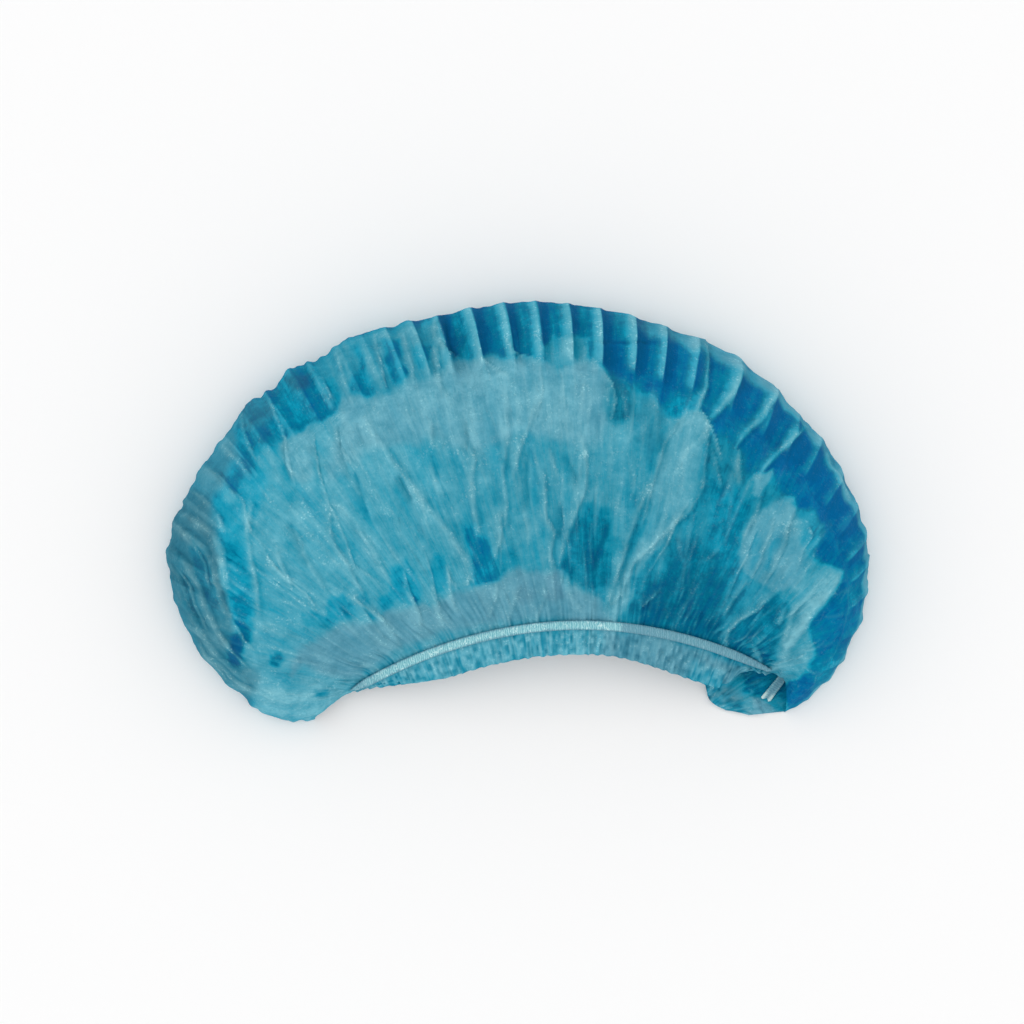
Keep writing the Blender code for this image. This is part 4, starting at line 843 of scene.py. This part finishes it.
def inside_area(x, y, points, soft):
    """1 well inside an area and 0 well outside it, with a soft edge."""
    points = np.array(points)
    gap = np.full_like(x, 1e9)
    inside = np.zeros(x.shape, dtype=bool)
    for (x0, y0), (x1, y1) in zip(points, np.roll(points, -1, axis=0)):
        run_x, run_y = x1 - x0, y1 - y0
        part = np.clip(((x - x0) * run_x + (y - y0) * run_y) / (run_x**2 + run_y**2), 0, 1)
        gap = np.minimum(gap, np.hypot(x - x0 - part * run_x, y - y0 - part * run_y))
        if y0 != y1:
            inside ^= ((y0 > y) != (y1 > y)) & (x < x0 + (y - y0) * run_x / run_y)
    return ease(0.5 + np.where(inside, gap, -gap) / (2 * soft))


def only_near(x, y, points, margin):
    """Which points are worth testing against a line or an area."""
    low = np.min(points, axis=0) - margin
    high = np.max(points, axis=0) + margin
    return (x > low[0]) & (x < high[0]) & (y > low[1]) & (y < high[1])


def creases(x, y, visible):
    """The relief and the paint of the single creases: painted highlights along their crests and painted shade
    at the feet of their steep sides.
    """
    rise, layers_and_shade, veil, shade = [np.zeros_like(x) for _ in range(4)]
    broken = 0.62 + 0.5 * soft_noise(x / 3.1, y / 3.1, 41) + 0.3 * soft_noise(x / 1.1, y / 1.1, 42)
    for _, width, height, deeper, whiter, darker, points in STROKES:
        close = only_near(x, y, points, 3 * abs(width) + 1) & visible
        relief, crest, foot = across_line(x[close], y[close], points, width)
        # White along each crest is a painted highlight; the foot of its steep side gets painted shade.
        white = np.maximum(relief * 0.45, crest) * broken[close]
        rise[close] += relief * height
        layers_and_shade[close] += np.maximum(relief * 0.7, crest) * deeper + foot * 0.06 * (height > 0)
        veil[close] += white * whiter
        shade[close] += relief * darker + foot * 0.10 * (height > 0)
    return rise, layers_and_shade, veil, shade


def running_length(points, axis):
    """The length run through along a grid of points, from its first row or column."""
    steps = np.linalg.norm(np.diff(points, axis=axis), axis=-1)
    shape = list(steps.shape)
    shape[axis] = 1
    return np.concatenate([np.zeros(shape), np.cumsum(steps, axis=axis)], axis=axis)


def crown_grid():
    """The cap's fabric with its pleats and all its fine relief, and the shares that colour it."""
    columns = make_columns()
    cloth = smooth_fabric(columns)
    points = cloth["points"]
    along = cloth["along"]
    front = cloth["front"]
    pleats = np.broadcast_to(columns["pleats"], along.shape)
    tangent = unit(np.gradient(columns["outline"], axis=0))
    tangent = np.concatenate([tangent, np.zeros((len(tangent), 1))], axis=1)
    wave = columns["wave"] * columns["pleat"]
    lean = np.maximum(columns["wave"] + 0.2, 0) * columns["pleat"] * 0.35
    points = points + cloth["stand"] * (wave * cloth["depth"])[:, :, None]
    points = points + tangent * (lean * cloth["depth"] * ease(cloth["depth"] / 0.6))[:, :, None]
    normals = grid_normals(points)

    seen = points[:, :, :2] * ((EYE_HEIGHT - SHARP_HEIGHT) / (EYE_HEIGHT - points[:, :, 2:])) * MILLIMETRES
    x, y = seen[:, :, 0], seen[:, :, 1]
    visible = np.broadcast_to(front > 0, along.shape)
    marks = creases(x + 0.5 * soft_noise(x / 7, y / 7, 10), y, visible)
    ragged = [soft_noise(x / width, y / width, seed) for width, seed in ((9, 11), (9, 13), (4, 12), (4, 14))]
    x = x + 1.8 * ragged[0] + 1.1 * ragged[2]
    y = y + 1.8 * ragged[1] + 1.1 * ragged[3]

    on_panel = ease(along / 0.10) * ease((0.84 - along) / 0.12) * (front > 0)
    body = columns["height"] / CROWN_HEIGHT
    streaks, lines = [values * on_panel for values in streak_relief(columns, along)]
    puckers = soft_noise(pleats * 2.1, along * 7, 21) * 0.8 + soft_noise(pleats * 4.3, along * 11, 22) * 0.5
    puckers = puckers + soft_noise(pleats * 9.1, along * 24, 23) * 0.25
    rim_length = running_length(rim_points(columns["rim"], "front"), 0)
    crimps = np.sin(2 * math.pi * rim_length / CRIMP_PITCH + 3.0 * soft_noise(pleats * 3, along * 9, 24))
    crimps = crimps * (0.55 + 0.45 * soft_noise(pleats * 2, along * 14, 26))
    near_rim = ease((0.20 + 0.06 * soft_noise(pleats, pleats * 0, 28) - along) / 0.18)
    ruffles = np.sin(2 * math.pi * rim_length / RUFFLE_PITCH + 2.2 * soft_noise(pleats * 1.3, pleats * 0, 25))
    at_hem = np.zeros((len(along), 1))
    hem_rows = sum(row[7] for row in ROWS[:2])
    at_hem[: hem_rows + 1, 0] = np.linspace(1, 0, hem_rows + 1)
    back_rows = ROWS[-2][7]
    at_hem[-back_rows - 1 :, 0] = np.linspace(0, 1, back_rows + 1)

    crinkles = soft_noise(rim_length * MILLIMETRES / 1.3 + along * 0, along * 20 + 3 * front + 5 * at_hem, 27)
    height = streaks * STREAK_HEIGHT + puckers * on_panel * PUCKER_HEIGHT
    ends = ease((9.5 - columns["place"]) / 2) + ease((columns["place"] - 15) / 2)
    height = height + puckers * (0.0004 + 0.0007 * ends) * ease((along - 0.8) / 0.05) * (front > 0)
    gathered = (crimps * 0.7 + crinkles * 0.6) * near_rim
    height = height + gathered * CRIMP_HEIGHT * (0.35 + 0.65 * np.abs(front))
    uneven = 0.6 + 0.4 * soft_noise(pleats * 0.9, pleats * 0, 29)
    height = height + ruffles * RUFFLE_HEIGHT * at_hem * uneven
    height = height + crinkles * (0.0006 - 0.0004 * at_hem) * (at_hem > 0)
    bumps = soft_noise(pleats * 1.7, pleats * 0, 51) * 0.6 + soft_noise(pleats * 4.3, along * 9, 52) * 0.4
    unlapped = np.maximum(1 - 1.2 * columns["contrast"], 0.1)
    height = height + bumps * EDGE_BUMPS * ease((along - 0.90) / 0.09) * unlapped
    height = height * body**0.5 + marks[0] * CREASE_HEIGHT
    sole = (front <= -1) & (at_hem == 0)
    level = np.abs(puckers) * 0.0006 * ease(along / 0.2) * ease((0.95 - along) / 0.1)
    over = np.where(at_hem > 0, 1, ease((front + 0.95) / 0.95))
    points = points + normals * (height * over)[:, :, None]
    points[:, :, 2] = np.maximum(points[:, :, 2] + np.where(sole, level, 0), LEAST_HEIGHT)

    # The relief that the paint follows, with painted highlights on ridges and painted shade in hollows.
    relief = streaks * 0.5 + puckers * 0.35 * (1 - at_hem)
    masks = paint(columns, cloth, x, y, relief, marks, lines, gathered + 1.1 * crinkles * (at_hem > 0))
    masks["pleat_way"] = pleats
    masks["rim_way"] = along
    return points, columns, masks


def paint(columns, cloth, x, y, relief, marks, lines, crimps):
    """The shares that colour the fabric: its layers with painted shade, its white fibres with painted
    highlights, its painted shade and its grey.
    """
    along = cloth["along"]
    front = cloth["front"]
    visible = np.broadcast_to(front > 0, along.shape)
    pleats = np.broadcast_to(columns["pleats"], along.shape)
    edge = 0.79 + 0.02 * soft_noise(pleats * 1.5, pleats * 0, 31)
    band = ease((along - edge) / 0.03)
    ahead = ease((front + 1) / 2)
    layers_and_shade = 0.40 + 0.06 * (1 - ahead) + 0.36 * band * ahead
    lilac = np.full_like(along, 0.05)
    # A faint painted shade everywhere, then each area's dim as painted shade.
    patch_shade = np.full_like(along, 0.06)
    for name, soft, depth, grey, dim, cover, points in PATCHES:
        close = only_near(x, y, points, soft + 1) & (visible != name.startswith("inner"))
        share = inside_area(x[close], y[close], points, soft) * cover
        layers_and_shade[close] += (depth - layers_and_shade[close]) * share
        lilac[close] += (grey - lilac[close]) * share
        patch_shade[close] += (dim - patch_shade[close]) * share
    past = columns["past"]
    contrast = columns["contrast"] * ease((along - 0.80) / 0.04)
    # Painted shade on each lapped pleat's steep side just past its crest, and painted highlight on the crest,
    # as for light from the left.
    dark = ease(past / 0.04) * ease((0.55 - past) / 0.38) * contrast
    pale = np.maximum(ease((past - 0.62) / 0.36), ease((0.03 - past) / 0.03)) * contrast
    streaky = soft_noise(pleats * 1.4, along * 3.5, 33) * 0.08
    streaky = streaky + soft_noise(pleats * 3.7, along * 8, 34) * 0.06
    fringe = ease((along - 0.938 - 0.018 * soft_noise(pleats * 2.3, pleats * 0, 35)) / 0.034)
    fringe = fringe * ease((columns["place"] - 12.0) / 1.6) * ease((20.8 - columns["place"]) / 1.2) * ahead
    fringe = fringe * (0.80 + 0.25 * soft_noise(pleats * 3.1, along * 40, 37))
    lilac = lilac + (0.62 - lilac) * fringe * 0.95
    layers_and_shade = layers_and_shade + (0.32 - layers_and_shade) * fringe * 0.84
    deep = ease((layers_and_shade - 0.62) / 0.2)
    # Painted highlight and painted shade pale or deepen the layers: crease crests and feet, the pleats'
    # crests and steep sides, the relief's ridges and hollows, and the crimps.
    layers_and_shade = layers_and_shade + marks[1] * 1.2 + 0.20 * dark - 0.34 * pale
    layers_and_shade = layers_and_shade + (streaky - 0.14 * np.clip(relief, -1, 1)) * (1 - 0.6 * deep)
    layers_and_shade = layers_and_shade - 0.12 * crimps
    fibrous = 0.22 * np.clip(soft_noise(x / 7, y / 7, 36) + 0.3, 0, 1)
    # The white fibres, with painted highlights on the relief's ridges, the streaks' and creases' crests, the
    # pleats' crests and the crimps' ridges.
    veil = np.clip(relief, 0, 1) * 0.12 + np.clip(lines, 0, 1) * 0.34 + marks[2] * 1.25 + 0.34 * pale
    veil = veil + 0.24 * np.clip(crimps, 0, 1) + fibrous * (1 - ease((layers_and_shade - 0.42) / 0.2))
    veil = veil * (1 - 0.72 * ease((layers_and_shade - 0.62) / 0.2))
    # Painted shade: each area's dim, the relief's hollows, the creases' feet, the pleats' steep sides and the
    # crimps' furrows, less on the pleats' crests.
    shade = patch_shade + np.clip(-relief, 0, 1) * 0.14 + marks[3] - 0.12 * pale
    shade = shade + 0.18 * dark + 0.20 * np.clip(-crimps, 0, 1)
    flat = {"layers_and_shade": layers_and_shade, "veil": veil, "shade": shade, "lilac": lilac}
    return {name: np.clip(values, 0, 1) for name, values in flat.items()}


def grid_piece(name, points, material, masks=None):
    """A sheet through a grid of points, with its fabric's own UV map and its painted shares."""
    rows, across = points.shape[:2]
    clear_selection()
    bpy.ops.mesh.primitive_grid_add(
        x_subdivisions=across - 1, y_subdivisions=rows - 1, size=1.0, calc_uvs=True
    )
    piece = bpy.context.object
    piece.name = name
    mesh = piece.data
    mesh.name = name
    flat = np.empty(len(mesh.vertices) * 3)
    mesh.vertices.foreach_get("co", flat)
    flat = flat.reshape(-1, 3)
    column = np.round((flat[:, 0] + 0.5) * (across - 1)).astype(int)
    row = np.round((flat[:, 1] + 0.5) * (rows - 1)).astype(int)
    mesh.vertices.foreach_set("co", points[row, column].ravel())
    run = running_length(points, 1)
    run = run - run[:, [across // 2]]
    rise = running_length(points, 0)
    loops = np.empty(len(mesh.loops), dtype=int)
    mesh.loops.foreach_get("vertex_index", loops)
    uv = np.stack([run[row, column], rise[row, column]], axis=1)[loops]
    mesh.uv_layers[0].name = "cloth"
    mesh.uv_layers[0].data.foreach_set("uv", uv.ravel())
    for mask, values in (masks or {}).items():
        layer = mesh.attributes.new(mask, "FLOAT", "POINT")
        layer.data.foreach_set("value", values[row, column])
    mesh.update()
    bpy.ops.object.shade_smooth()
    mesh.materials.append(material)
    return piece


def node_maker(tree):
    """A short way to add a node with its settings and its inputs."""
    def add(kind, inputs=None, **settings):
        node = tree.nodes.new(kind)
        for key, value in settings.items():
            setattr(node, key, value)
        for key, value in (inputs or {}).items():
            socket = node.inputs[key]
            if isinstance(value, bpy.types.NodeSocket):
                tree.links.new(value, socket)
            else:
                socket.default_value = value
        return node
    return add


def reckon(add, operation, *values):
    """The result of one sum of two or three values."""
    return add("ShaderNodeMath", dict(enumerate(values)), operation=operation).outputs[0]


def stretched(add, value, low, high):
    """A value stretched so that low becomes 0 and high becomes 1."""
    return add("ShaderNodeMapRange", {"Value": value, "From Min": low, "From Max": high}).outputs["Result"]


def fibre_group():
    """Random white fibres, painted glints on bond points and cloudy thickness of the nonwoven."""
    tree = bpy.data.node_groups.new("nonwoven_fibres", "ShaderNodeTree")
    tree.interface.new_socket("Map", in_out="INPUT", socket_type="NodeSocketVector")
    for name in ("Speckle", "Cloud", "Height"):
        tree.interface.new_socket(name, in_out="OUTPUT", socket_type="NodeSocketFloat")
    add = node_maker(tree)
    where = add("NodeGroupInput").outputs["Map"]
    exit_node = add("NodeGroupOutput")
    grain = add("ShaderNodeTexNoise", {"Vector": where, "Scale": 800.0, "Detail": 3.0, "Roughness": 0.7})
    patchy = add("ShaderNodeTexNoise", {"Vector": where, "Scale": 260.0, "Detail": 3.0, "Roughness": 0.6})
    cloud = add("ShaderNodeTexNoise", {"Vector": where, "Scale": 120.0, "Detail": 8.0, "Roughness": 0.76})
    points = add("ShaderNodeTexVoronoi", {"Vector": where, "Scale": 560.0, "Randomness": 0.9})
    dots = stretched(add, points.outputs["Distance"], 0.30, 0.12)
    where_white = stretched(add, patchy.outputs["Fac"], 0.44, 0.60)
    sharp = stretched(add, grain.outputs["Fac"], 0.54, 0.64)
    # The bond points and the brightest fibres as painted glints.
    glint = reckon(add, "MAXIMUM", dots, sharp)
    speck = reckon(add, "MULTIPLY", glint, where_white)
    mottled = stretched(add, cloud.outputs["Fac"], 0.32, 0.68)
    relief = reckon(add, "ADD", grain.outputs["Fac"], dots)
    tree.links.new(speck, exit_node.inputs["Speckle"])
    tree.links.new(mottled, exit_node.inputs["Cloud"])
    tree.links.new(relief, exit_node.inputs["Height"])
    return tree


def wrinkle_group():
    """Fine wrinkles that run with the pleats, from the pleats' count and the share of the way out."""
    tree = bpy.data.node_groups.new("fine_wrinkles", "ShaderNodeTree")
    for name in ("Pleat", "Way"):
        tree.interface.new_socket(name, in_out="INPUT", socket_type="NodeSocketFloat")
    for name in ("Tone", "Height"):
        tree.interface.new_socket(name, in_out="OUTPUT", socket_type="NodeSocketFloat")
    add = node_maker(tree)
    entry = add("NodeGroupInput")
    exit_node = add("NodeGroupOutput")
    found = []
    for across, along in ((3.2, 4.5), (8.5, 13.0)):
        over = reckon(add, "MULTIPLY", entry.outputs["Pleat"], across)
        up = reckon(add, "MULTIPLY", entry.outputs["Way"], along)
        place = add("ShaderNodeCombineXYZ", {"X": over, "Y": up})
        wrinkled = {"Scale": 1.0, "Detail": 3.0, "Roughness": 0.62, "Distortion": 0.5}
        noise = add("ShaderNodeTexNoise", {"Vector": place.outputs[0], **wrinkled})
        found.append(noise.outputs["Fac"])
    both = reckon(add, "ADD", found[0], found[1])
    tree.links.new(stretched(add, both, 0.7, 1.3), exit_node.inputs["Tone"])
    tree.links.new(both, exit_node.inputs["Height"])
    return tree


# How the fabric's colour deepens with the layers that lie there and with the painted shade carried by the
# same share.
LAYER_COLOURS = [
    (0.00, (0.200, 0.580, 0.700, 1)),
    (0.25, (0.108, 0.475, 0.615, 1)),
    (0.42, (0.060, 0.435, 0.590, 1)),
    (0.56, (0.020, 0.410, 0.590, 1)),
    (0.70, (0.003, 0.370, 0.565, 1)),
    (0.82, (0.000, 0.245, 0.415, 1)),
    (0.92, (0.000, 0.200, 0.420, 1)),
    (1.00, (0.000, 0.150, 0.385, 1)),
]
SHADOW_TEAL = (0.0, 0.050, 0.085, 1)
WHITE_FIBRE_AND_HIGHLIGHT = (0.42, 0.86, 0.95, 1)
LILAC_GREY = (0.140, 0.385, 0.525, 1)
PAINTED = ("layers_and_shade", "veil", "shade", "lilac", "pleat_way", "rim_way")


def mix_colour(add, share, first, second):
    """One colour over another by a share."""
    node = add("ShaderNodeMix", data_type="RGBA", clamp_factor=True)
    for socket, value in ((0, share), (6, first), (7, second)):
        if isinstance(value, bpy.types.NodeSocket):
            node.id_data.links.new(value, node.inputs[socket])
        else:
            node.inputs[socket].default_value = value
    return node.outputs[2]


def nonwoven_material(fibres, wrinkles):
    """Thin translucent blue nonwoven: paler where it lies single, deeper where it lies in layers, with
    painted shade and painted highlights mixed into its colour.
    """
    material = bpy.data.materials.new("blue_nonwoven")
    material.use_nodes = True
    tree = material.node_tree
    tree.nodes.clear()
    add = node_maker(tree)
    where = add("ShaderNodeTexCoord")
    group = add("ShaderNodeGroup", node_tree=fibres)
    tree.links.new(where.outputs["Object"], group.inputs["Map"])
    masks = {name: add("ShaderNodeAttribute", attribute_name=name).outputs["Fac"] for name in PAINTED}
    ways = {"Pleat": masks["pleat_way"], "Way": masks["rim_way"]}
    creased = add("ShaderNodeGroup", ways, node_tree=wrinkles)
    swing = reckon(add, "SUBTRACT", group.outputs["Cloud"], 0.5)
    swings = reckon(add, "MULTIPLY_ADD", masks["layers_and_shade"], -0.40, 0.50)
    shift = reckon(add, "MULTIPLY_ADD", swing, swings, masks["layers_and_shade"])
    calm = reckon(add, "MULTIPLY_ADD", masks["layers_and_shade"], 0.24, -0.36)
    fine = reckon(add, "MULTIPLY_ADD", creased.outputs["Tone"], calm, shift)
    ramp = add("ShaderNodeValToRGB", {"Fac": reckon(add, "ADD", fine, 0.14)})
    ramp.color_ramp.elements.remove(ramp.color_ramp.elements[1])
    ramp.color_ramp.elements[0].position = LAYER_COLOURS[0][0]
    ramp.color_ramp.elements[0].color = LAYER_COLOURS[0][1]
    for place, colour in LAYER_COLOURS[1:]:
        ramp.color_ramp.elements.new(place).color = colour
    tinted = mix_colour(add, masks["lilac"], ramp.outputs["Color"], LILAC_GREY)
    # White fibres and painted highlights, with the fibres' specks and painted glints, pale the colour.
    some = reckon(add, "MULTIPLY_ADD", masks["veil"], 1.5, 0.04)
    speck = reckon(add, "MULTIPLY", group.outputs["Speckle"], some)
    veil = reckon(add, "MULTIPLY_ADD", masks["veil"], 0.50, speck)
    pale = mix_colour(add, veil, tinted, WHITE_FIBRE_AND_HIGHLIGHT)
    # Random mottling and the painted shade darken the colour towards the shadow teal.
    mottle_and_shade = reckon(add, "MULTIPLY_ADD", group.outputs["Cloud"], 0.22, masks["shade"])
    shaded = mix_colour(add, mottle_and_shade, pale, SHADOW_TEAL)
    high = reckon(add, "MULTIPLY_ADD", creased.outputs["Height"], 2.0, group.outputs["Height"])
    bump = add("ShaderNodeBump", {"Height": high, "Strength": 0.5, "Distance": 0.0003})
    look = {"Base Color": shaded, "Roughness": 0.70, "Normal": bump.outputs["Normal"]}
    skin = add("ShaderNodeBsdfPrincipled", look)
    skin.inputs["Specular IOR Level"].default_value = 0.02
    glow = add("ShaderNodeBsdfTranslucent", {"Color": shaded, "Normal": bump.outputs["Normal"]})
    both = add("ShaderNodeMixShader", {0: 0.12, 1: skin.outputs[0], 2: glow.outputs[0]})
    end = add("ShaderNodeOutputMaterial")
    tree.links.new(both.outputs[0], end.inputs["Surface"])
    return material


def elastic_material(fibres):
    """Pale aqua elastic, ribbed across by its crimps with painted shade in their furrows, painted shade at
    its edges, and greyer where it shows through.
    """
    material = bpy.data.materials.new("pale_elastic")
    material.use_nodes = True
    tree = material.node_tree
    tree.nodes.clear()
    add = node_maker(tree)
    where = add("ShaderNodeTexCoord")
    strip = add("ShaderNodeUVMap", uv_map="cloth")
    group = add("ShaderNodeGroup", node_tree=fibres)
    tree.links.new(where.outputs["Object"], group.inputs["Map"])
    dim = add("ShaderNodeAttribute", attribute_name="dim").outputs["Fac"]
    edge = add("ShaderNodeAttribute", attribute_name="edge").outputs["Fac"]
    crimped = {"Scale": 0.314 / CRIMP_PITCH * 2.2, "Distortion": 6.0, "Detail": 3.0, "Detail Scale": 2.0}
    crimped = {"Vector": strip.outputs["UV"], **crimped}
    ribs = add("ShaderNodeTexWave", crimped, wave_type="BANDS", bands_direction="X")
    # Painted shade in the crimps' furrows, paler on their ridges.
    furrow = mix_colour(add, ribs.outputs["Fac"], (0.16, 0.46, 0.54, 1), (0.37, 0.69, 0.73, 1))
    # The fibres' specks and painted glints.
    colour = mix_colour(add, group.outputs["Speckle"], furrow, (0.66, 0.90, 0.90, 1))
    # Painted shade at the strip's edges and in the split of its cut end, and greyer where the elastic shows
    # through the fabric.
    shaded_and_greyed = mix_colour(add, ribs.outputs["Fac"], (0.110, 0.30, 0.39, 1), (0.165, 0.365, 0.46, 1))
    rimmed = mix_colour(add, edge, colour, shaded_and_greyed)
    patched = reckon(add, "MULTIPLY_ADD", group.outputs["Cloud"], 0.30, dim)
    dimmed = mix_colour(add, reckon(add, "MULTIPLY", patched, dim), rimmed, shaded_and_greyed)
    white = add("ShaderNodeAttribute", attribute_name="white").outputs["Fac"]
    dimmed = mix_colour(add, white, dimmed, (0.62, 0.84, 0.82, 1))
    bump = add("ShaderNodeBump", {"Height": ribs.outputs["Fac"], "Strength": 0.5, "Distance": 0.0002})
    look = {"Base Color": dimmed, "Roughness": 0.7, "Normal": bump.outputs["Normal"]}
    skin = add("ShaderNodeBsdfPrincipled", look)
    skin.inputs["Specular IOR Level"].default_value = 0.1
    end = add("ShaderNodeOutputMaterial")
    tree.links.new(skin.outputs[0], end.inputs["Surface"])
    return material


def thicken(piece, thickness):
    """Give a strip its thickness, half to either side."""
    wall = piece.modifiers.new("thickness", "SOLIDIFY")
    wall.thickness = thickness
    wall.offset = 0.0
    clear_selection()
    piece.select_set(True)
    bpy.context.view_layer.objects.active = piece
    bpy.ops.object.modifier_apply(modifier="thickness")


def elastic_piece(columns, side, material):
    """The crimped elastic on one rim, a thin strip that waves with the gathers it holds."""
    rim = columns["rim"]
    inwards = rim_inwards(columns, side)
    middle = rim_points(rim, side)
    half = ELASTIC_WIDTH * 0.43 * band_shares(rim, side)
    slope = RIM_SLOPE if side == "front" else 0.0
    height = rim_heights(rim, side)
    keep = (rim > ELASTIC_SPAN[0]) & (rim < ELASTIC_SPAN[1])
    way = 1 if side == "front" else -1
    lift = (WALL + SEAT_GAP) / 2
    length = running_length(middle, 0)
    crimp = np.sin(2 * math.pi * length / CRIMP_PITCH) * ELASTIC_THICKNESS * 0.35
    shares = np.linspace(-1, 1, 7)
    rows = []
    for across in shares:
        plan = middle + inwards * (half * across)[:, None]
        crowned = (1 - across**2) * 0.0003 * way
        z = height + slope * half * across + way * (lift + np.maximum(crimp, -0.0002)) + crowned
        rows.append(np.concatenate([plan, np.maximum(z, ELASTIC_THICKNESS * 0.45)[:, None]], axis=1)[keep])
    points = np.array(rows)
    frayed = 0.18 * soft_noise(length[keep] * MILLIMETRES / 1.7, length[keep] * 0, 61)
    # The strip's edges get painted shade; its dim ends are greyer where they lie under the fabric.
    edge = np.clip((np.abs(shares)[:, None] - 0.62 + frayed) / 0.30, 0, 1)
    dim = np.maximum(ease((rim[keep] - 0.615) / 0.02) * 0.85, ease((0.15 - rim[keep]) / 0.15) * 0.8)
    dim = np.broadcast_to(dim, edge.shape)
    marks = {"edge": edge, "dim": dim, "white": edge * 0}
    piece = grid_piece(side + "_elastic_strip", points, material, marks)
    thicken(piece, ELASTIC_THICKNESS * 0.8)
    return piece


def elastic_end_piece(material):
    """The elastic's cut end, a short folded strip in the pocket."""
    seat = WALL + SEAT_GAP + ELASTIC_THICKNESS / 2
    half = unit(np.array([1.0, -ELASTIC_END_SLANT])) * ELASTIC_WIDTH / 2
    table = np.array(ELASTIC_END)
    places = np.linspace(0, len(table) - 1, 17)
    middle = on_plan(through(table[:, 0], places), through(table[:, 1], places))
    height = seat + through(table[:, 2], places) * WALL
    rows = []
    out = (places / places[-1])[:, None]
    run = unit(middle[-1] - middle[0])
    for across, longer in zip(np.linspace(-1, 1, 7), (0.2, 1.0, 0.5, -0.9, -0.2, 0.8, -0.3)):
        plan = middle + half * across * (0.80 + 0.16 * out) + run * out**6 * longer * 0.0007
        rows.append(np.concatenate([plan, height[:, None]], axis=1))
    shares = np.abs(np.linspace(-1, 1, 7))[:, None] + places * 0
    split = ease((0.55 - shares) / 0.35)
    tips = ease((places - 1.25) / 0.45) * (1 - split)
    # The split between the cut end's two strands gets painted shade; its tips are white.
    marks = {"edge": split, "dim": 0.7 + 0.3 * split, "white": tips}
    piece = grid_piece("elastic_cut_end", np.array(rows), material, marks)
    thicken(piece, ELASTIC_THICKNESS * 0.8)
    return piece


def set_stage():
    """A plain pale floor, soft light from the upper left, and the camera straight above."""
    clear_selection()
    bpy.ops.mesh.primitive_plane_add(size=6.0, location=(0, 0, 0))
    floor = bpy.context.object
    floor.name = "floor"
    paper = bpy.data.materials.new("pale_floor")
    paper.use_nodes = True
    shader = paper.node_tree.nodes["Principled BSDF"]
    shader.inputs["Base Color"].default_value = (0.94, 0.94, 0.94, 1)
    shader.inputs["Roughness"].default_value = 0.9
    floor.data.materials.append(paper)

    world = bpy.data.worlds.new("soft_room")
    world.use_nodes = True
    world.node_tree.nodes["Background"].inputs["Color"].default_value = (1.0, 1.0, 1.0, 1)
    world.node_tree.nodes["Background"].inputs["Strength"].default_value = 1.05
    bpy.context.scene.world = world

    clear_selection()
    bpy.ops.object.light_add(type="AREA", location=(-0.75, 0.75, 0.85))
    key = bpy.context.object
    key.name = "window_light"
    key.data.shape = "SQUARE"
    key.data.size = 0.6
    key.data.energy = 26
    aim = -np.array(key.location)
    key.rotation_euler = (math.atan2(math.hypot(aim[0], aim[1]), -aim[2]), 0, math.atan2(aim[0], -aim[1]))

    bpy.ops.object.camera_add(location=(-0.0028, 0.0002, EYE_HEIGHT), rotation=(0, 0, 0))
    camera = bpy.context.object
    camera.data.lens = 200
    camera.data.sensor_width = 36
    bpy.context.scene.camera = camera
    bpy.context.scene.view_settings.view_transform = "Standard"


def main():
    fibres = fibre_group()
    cloth_look = nonwoven_material(fibres, wrinkle_group())
    elastic_look = elastic_material(fibres)
    points, columns, masks = crown_grid()
    crown = grid_piece("pleated_crown", points, cloth_look, masks)
    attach(crown, "root")
    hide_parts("crown")
    strips = [
        (elastic_piece(columns, "front", elastic_look), "front_elastic"),
        (elastic_piece(columns, "back", elastic_look), "back_elastic"),
        (elastic_end_piece(elastic_look), "elastic_end"),
    ]
    for strip, node in strips:
        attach(strip, "root")
        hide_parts(node)
    set_stage()


main()
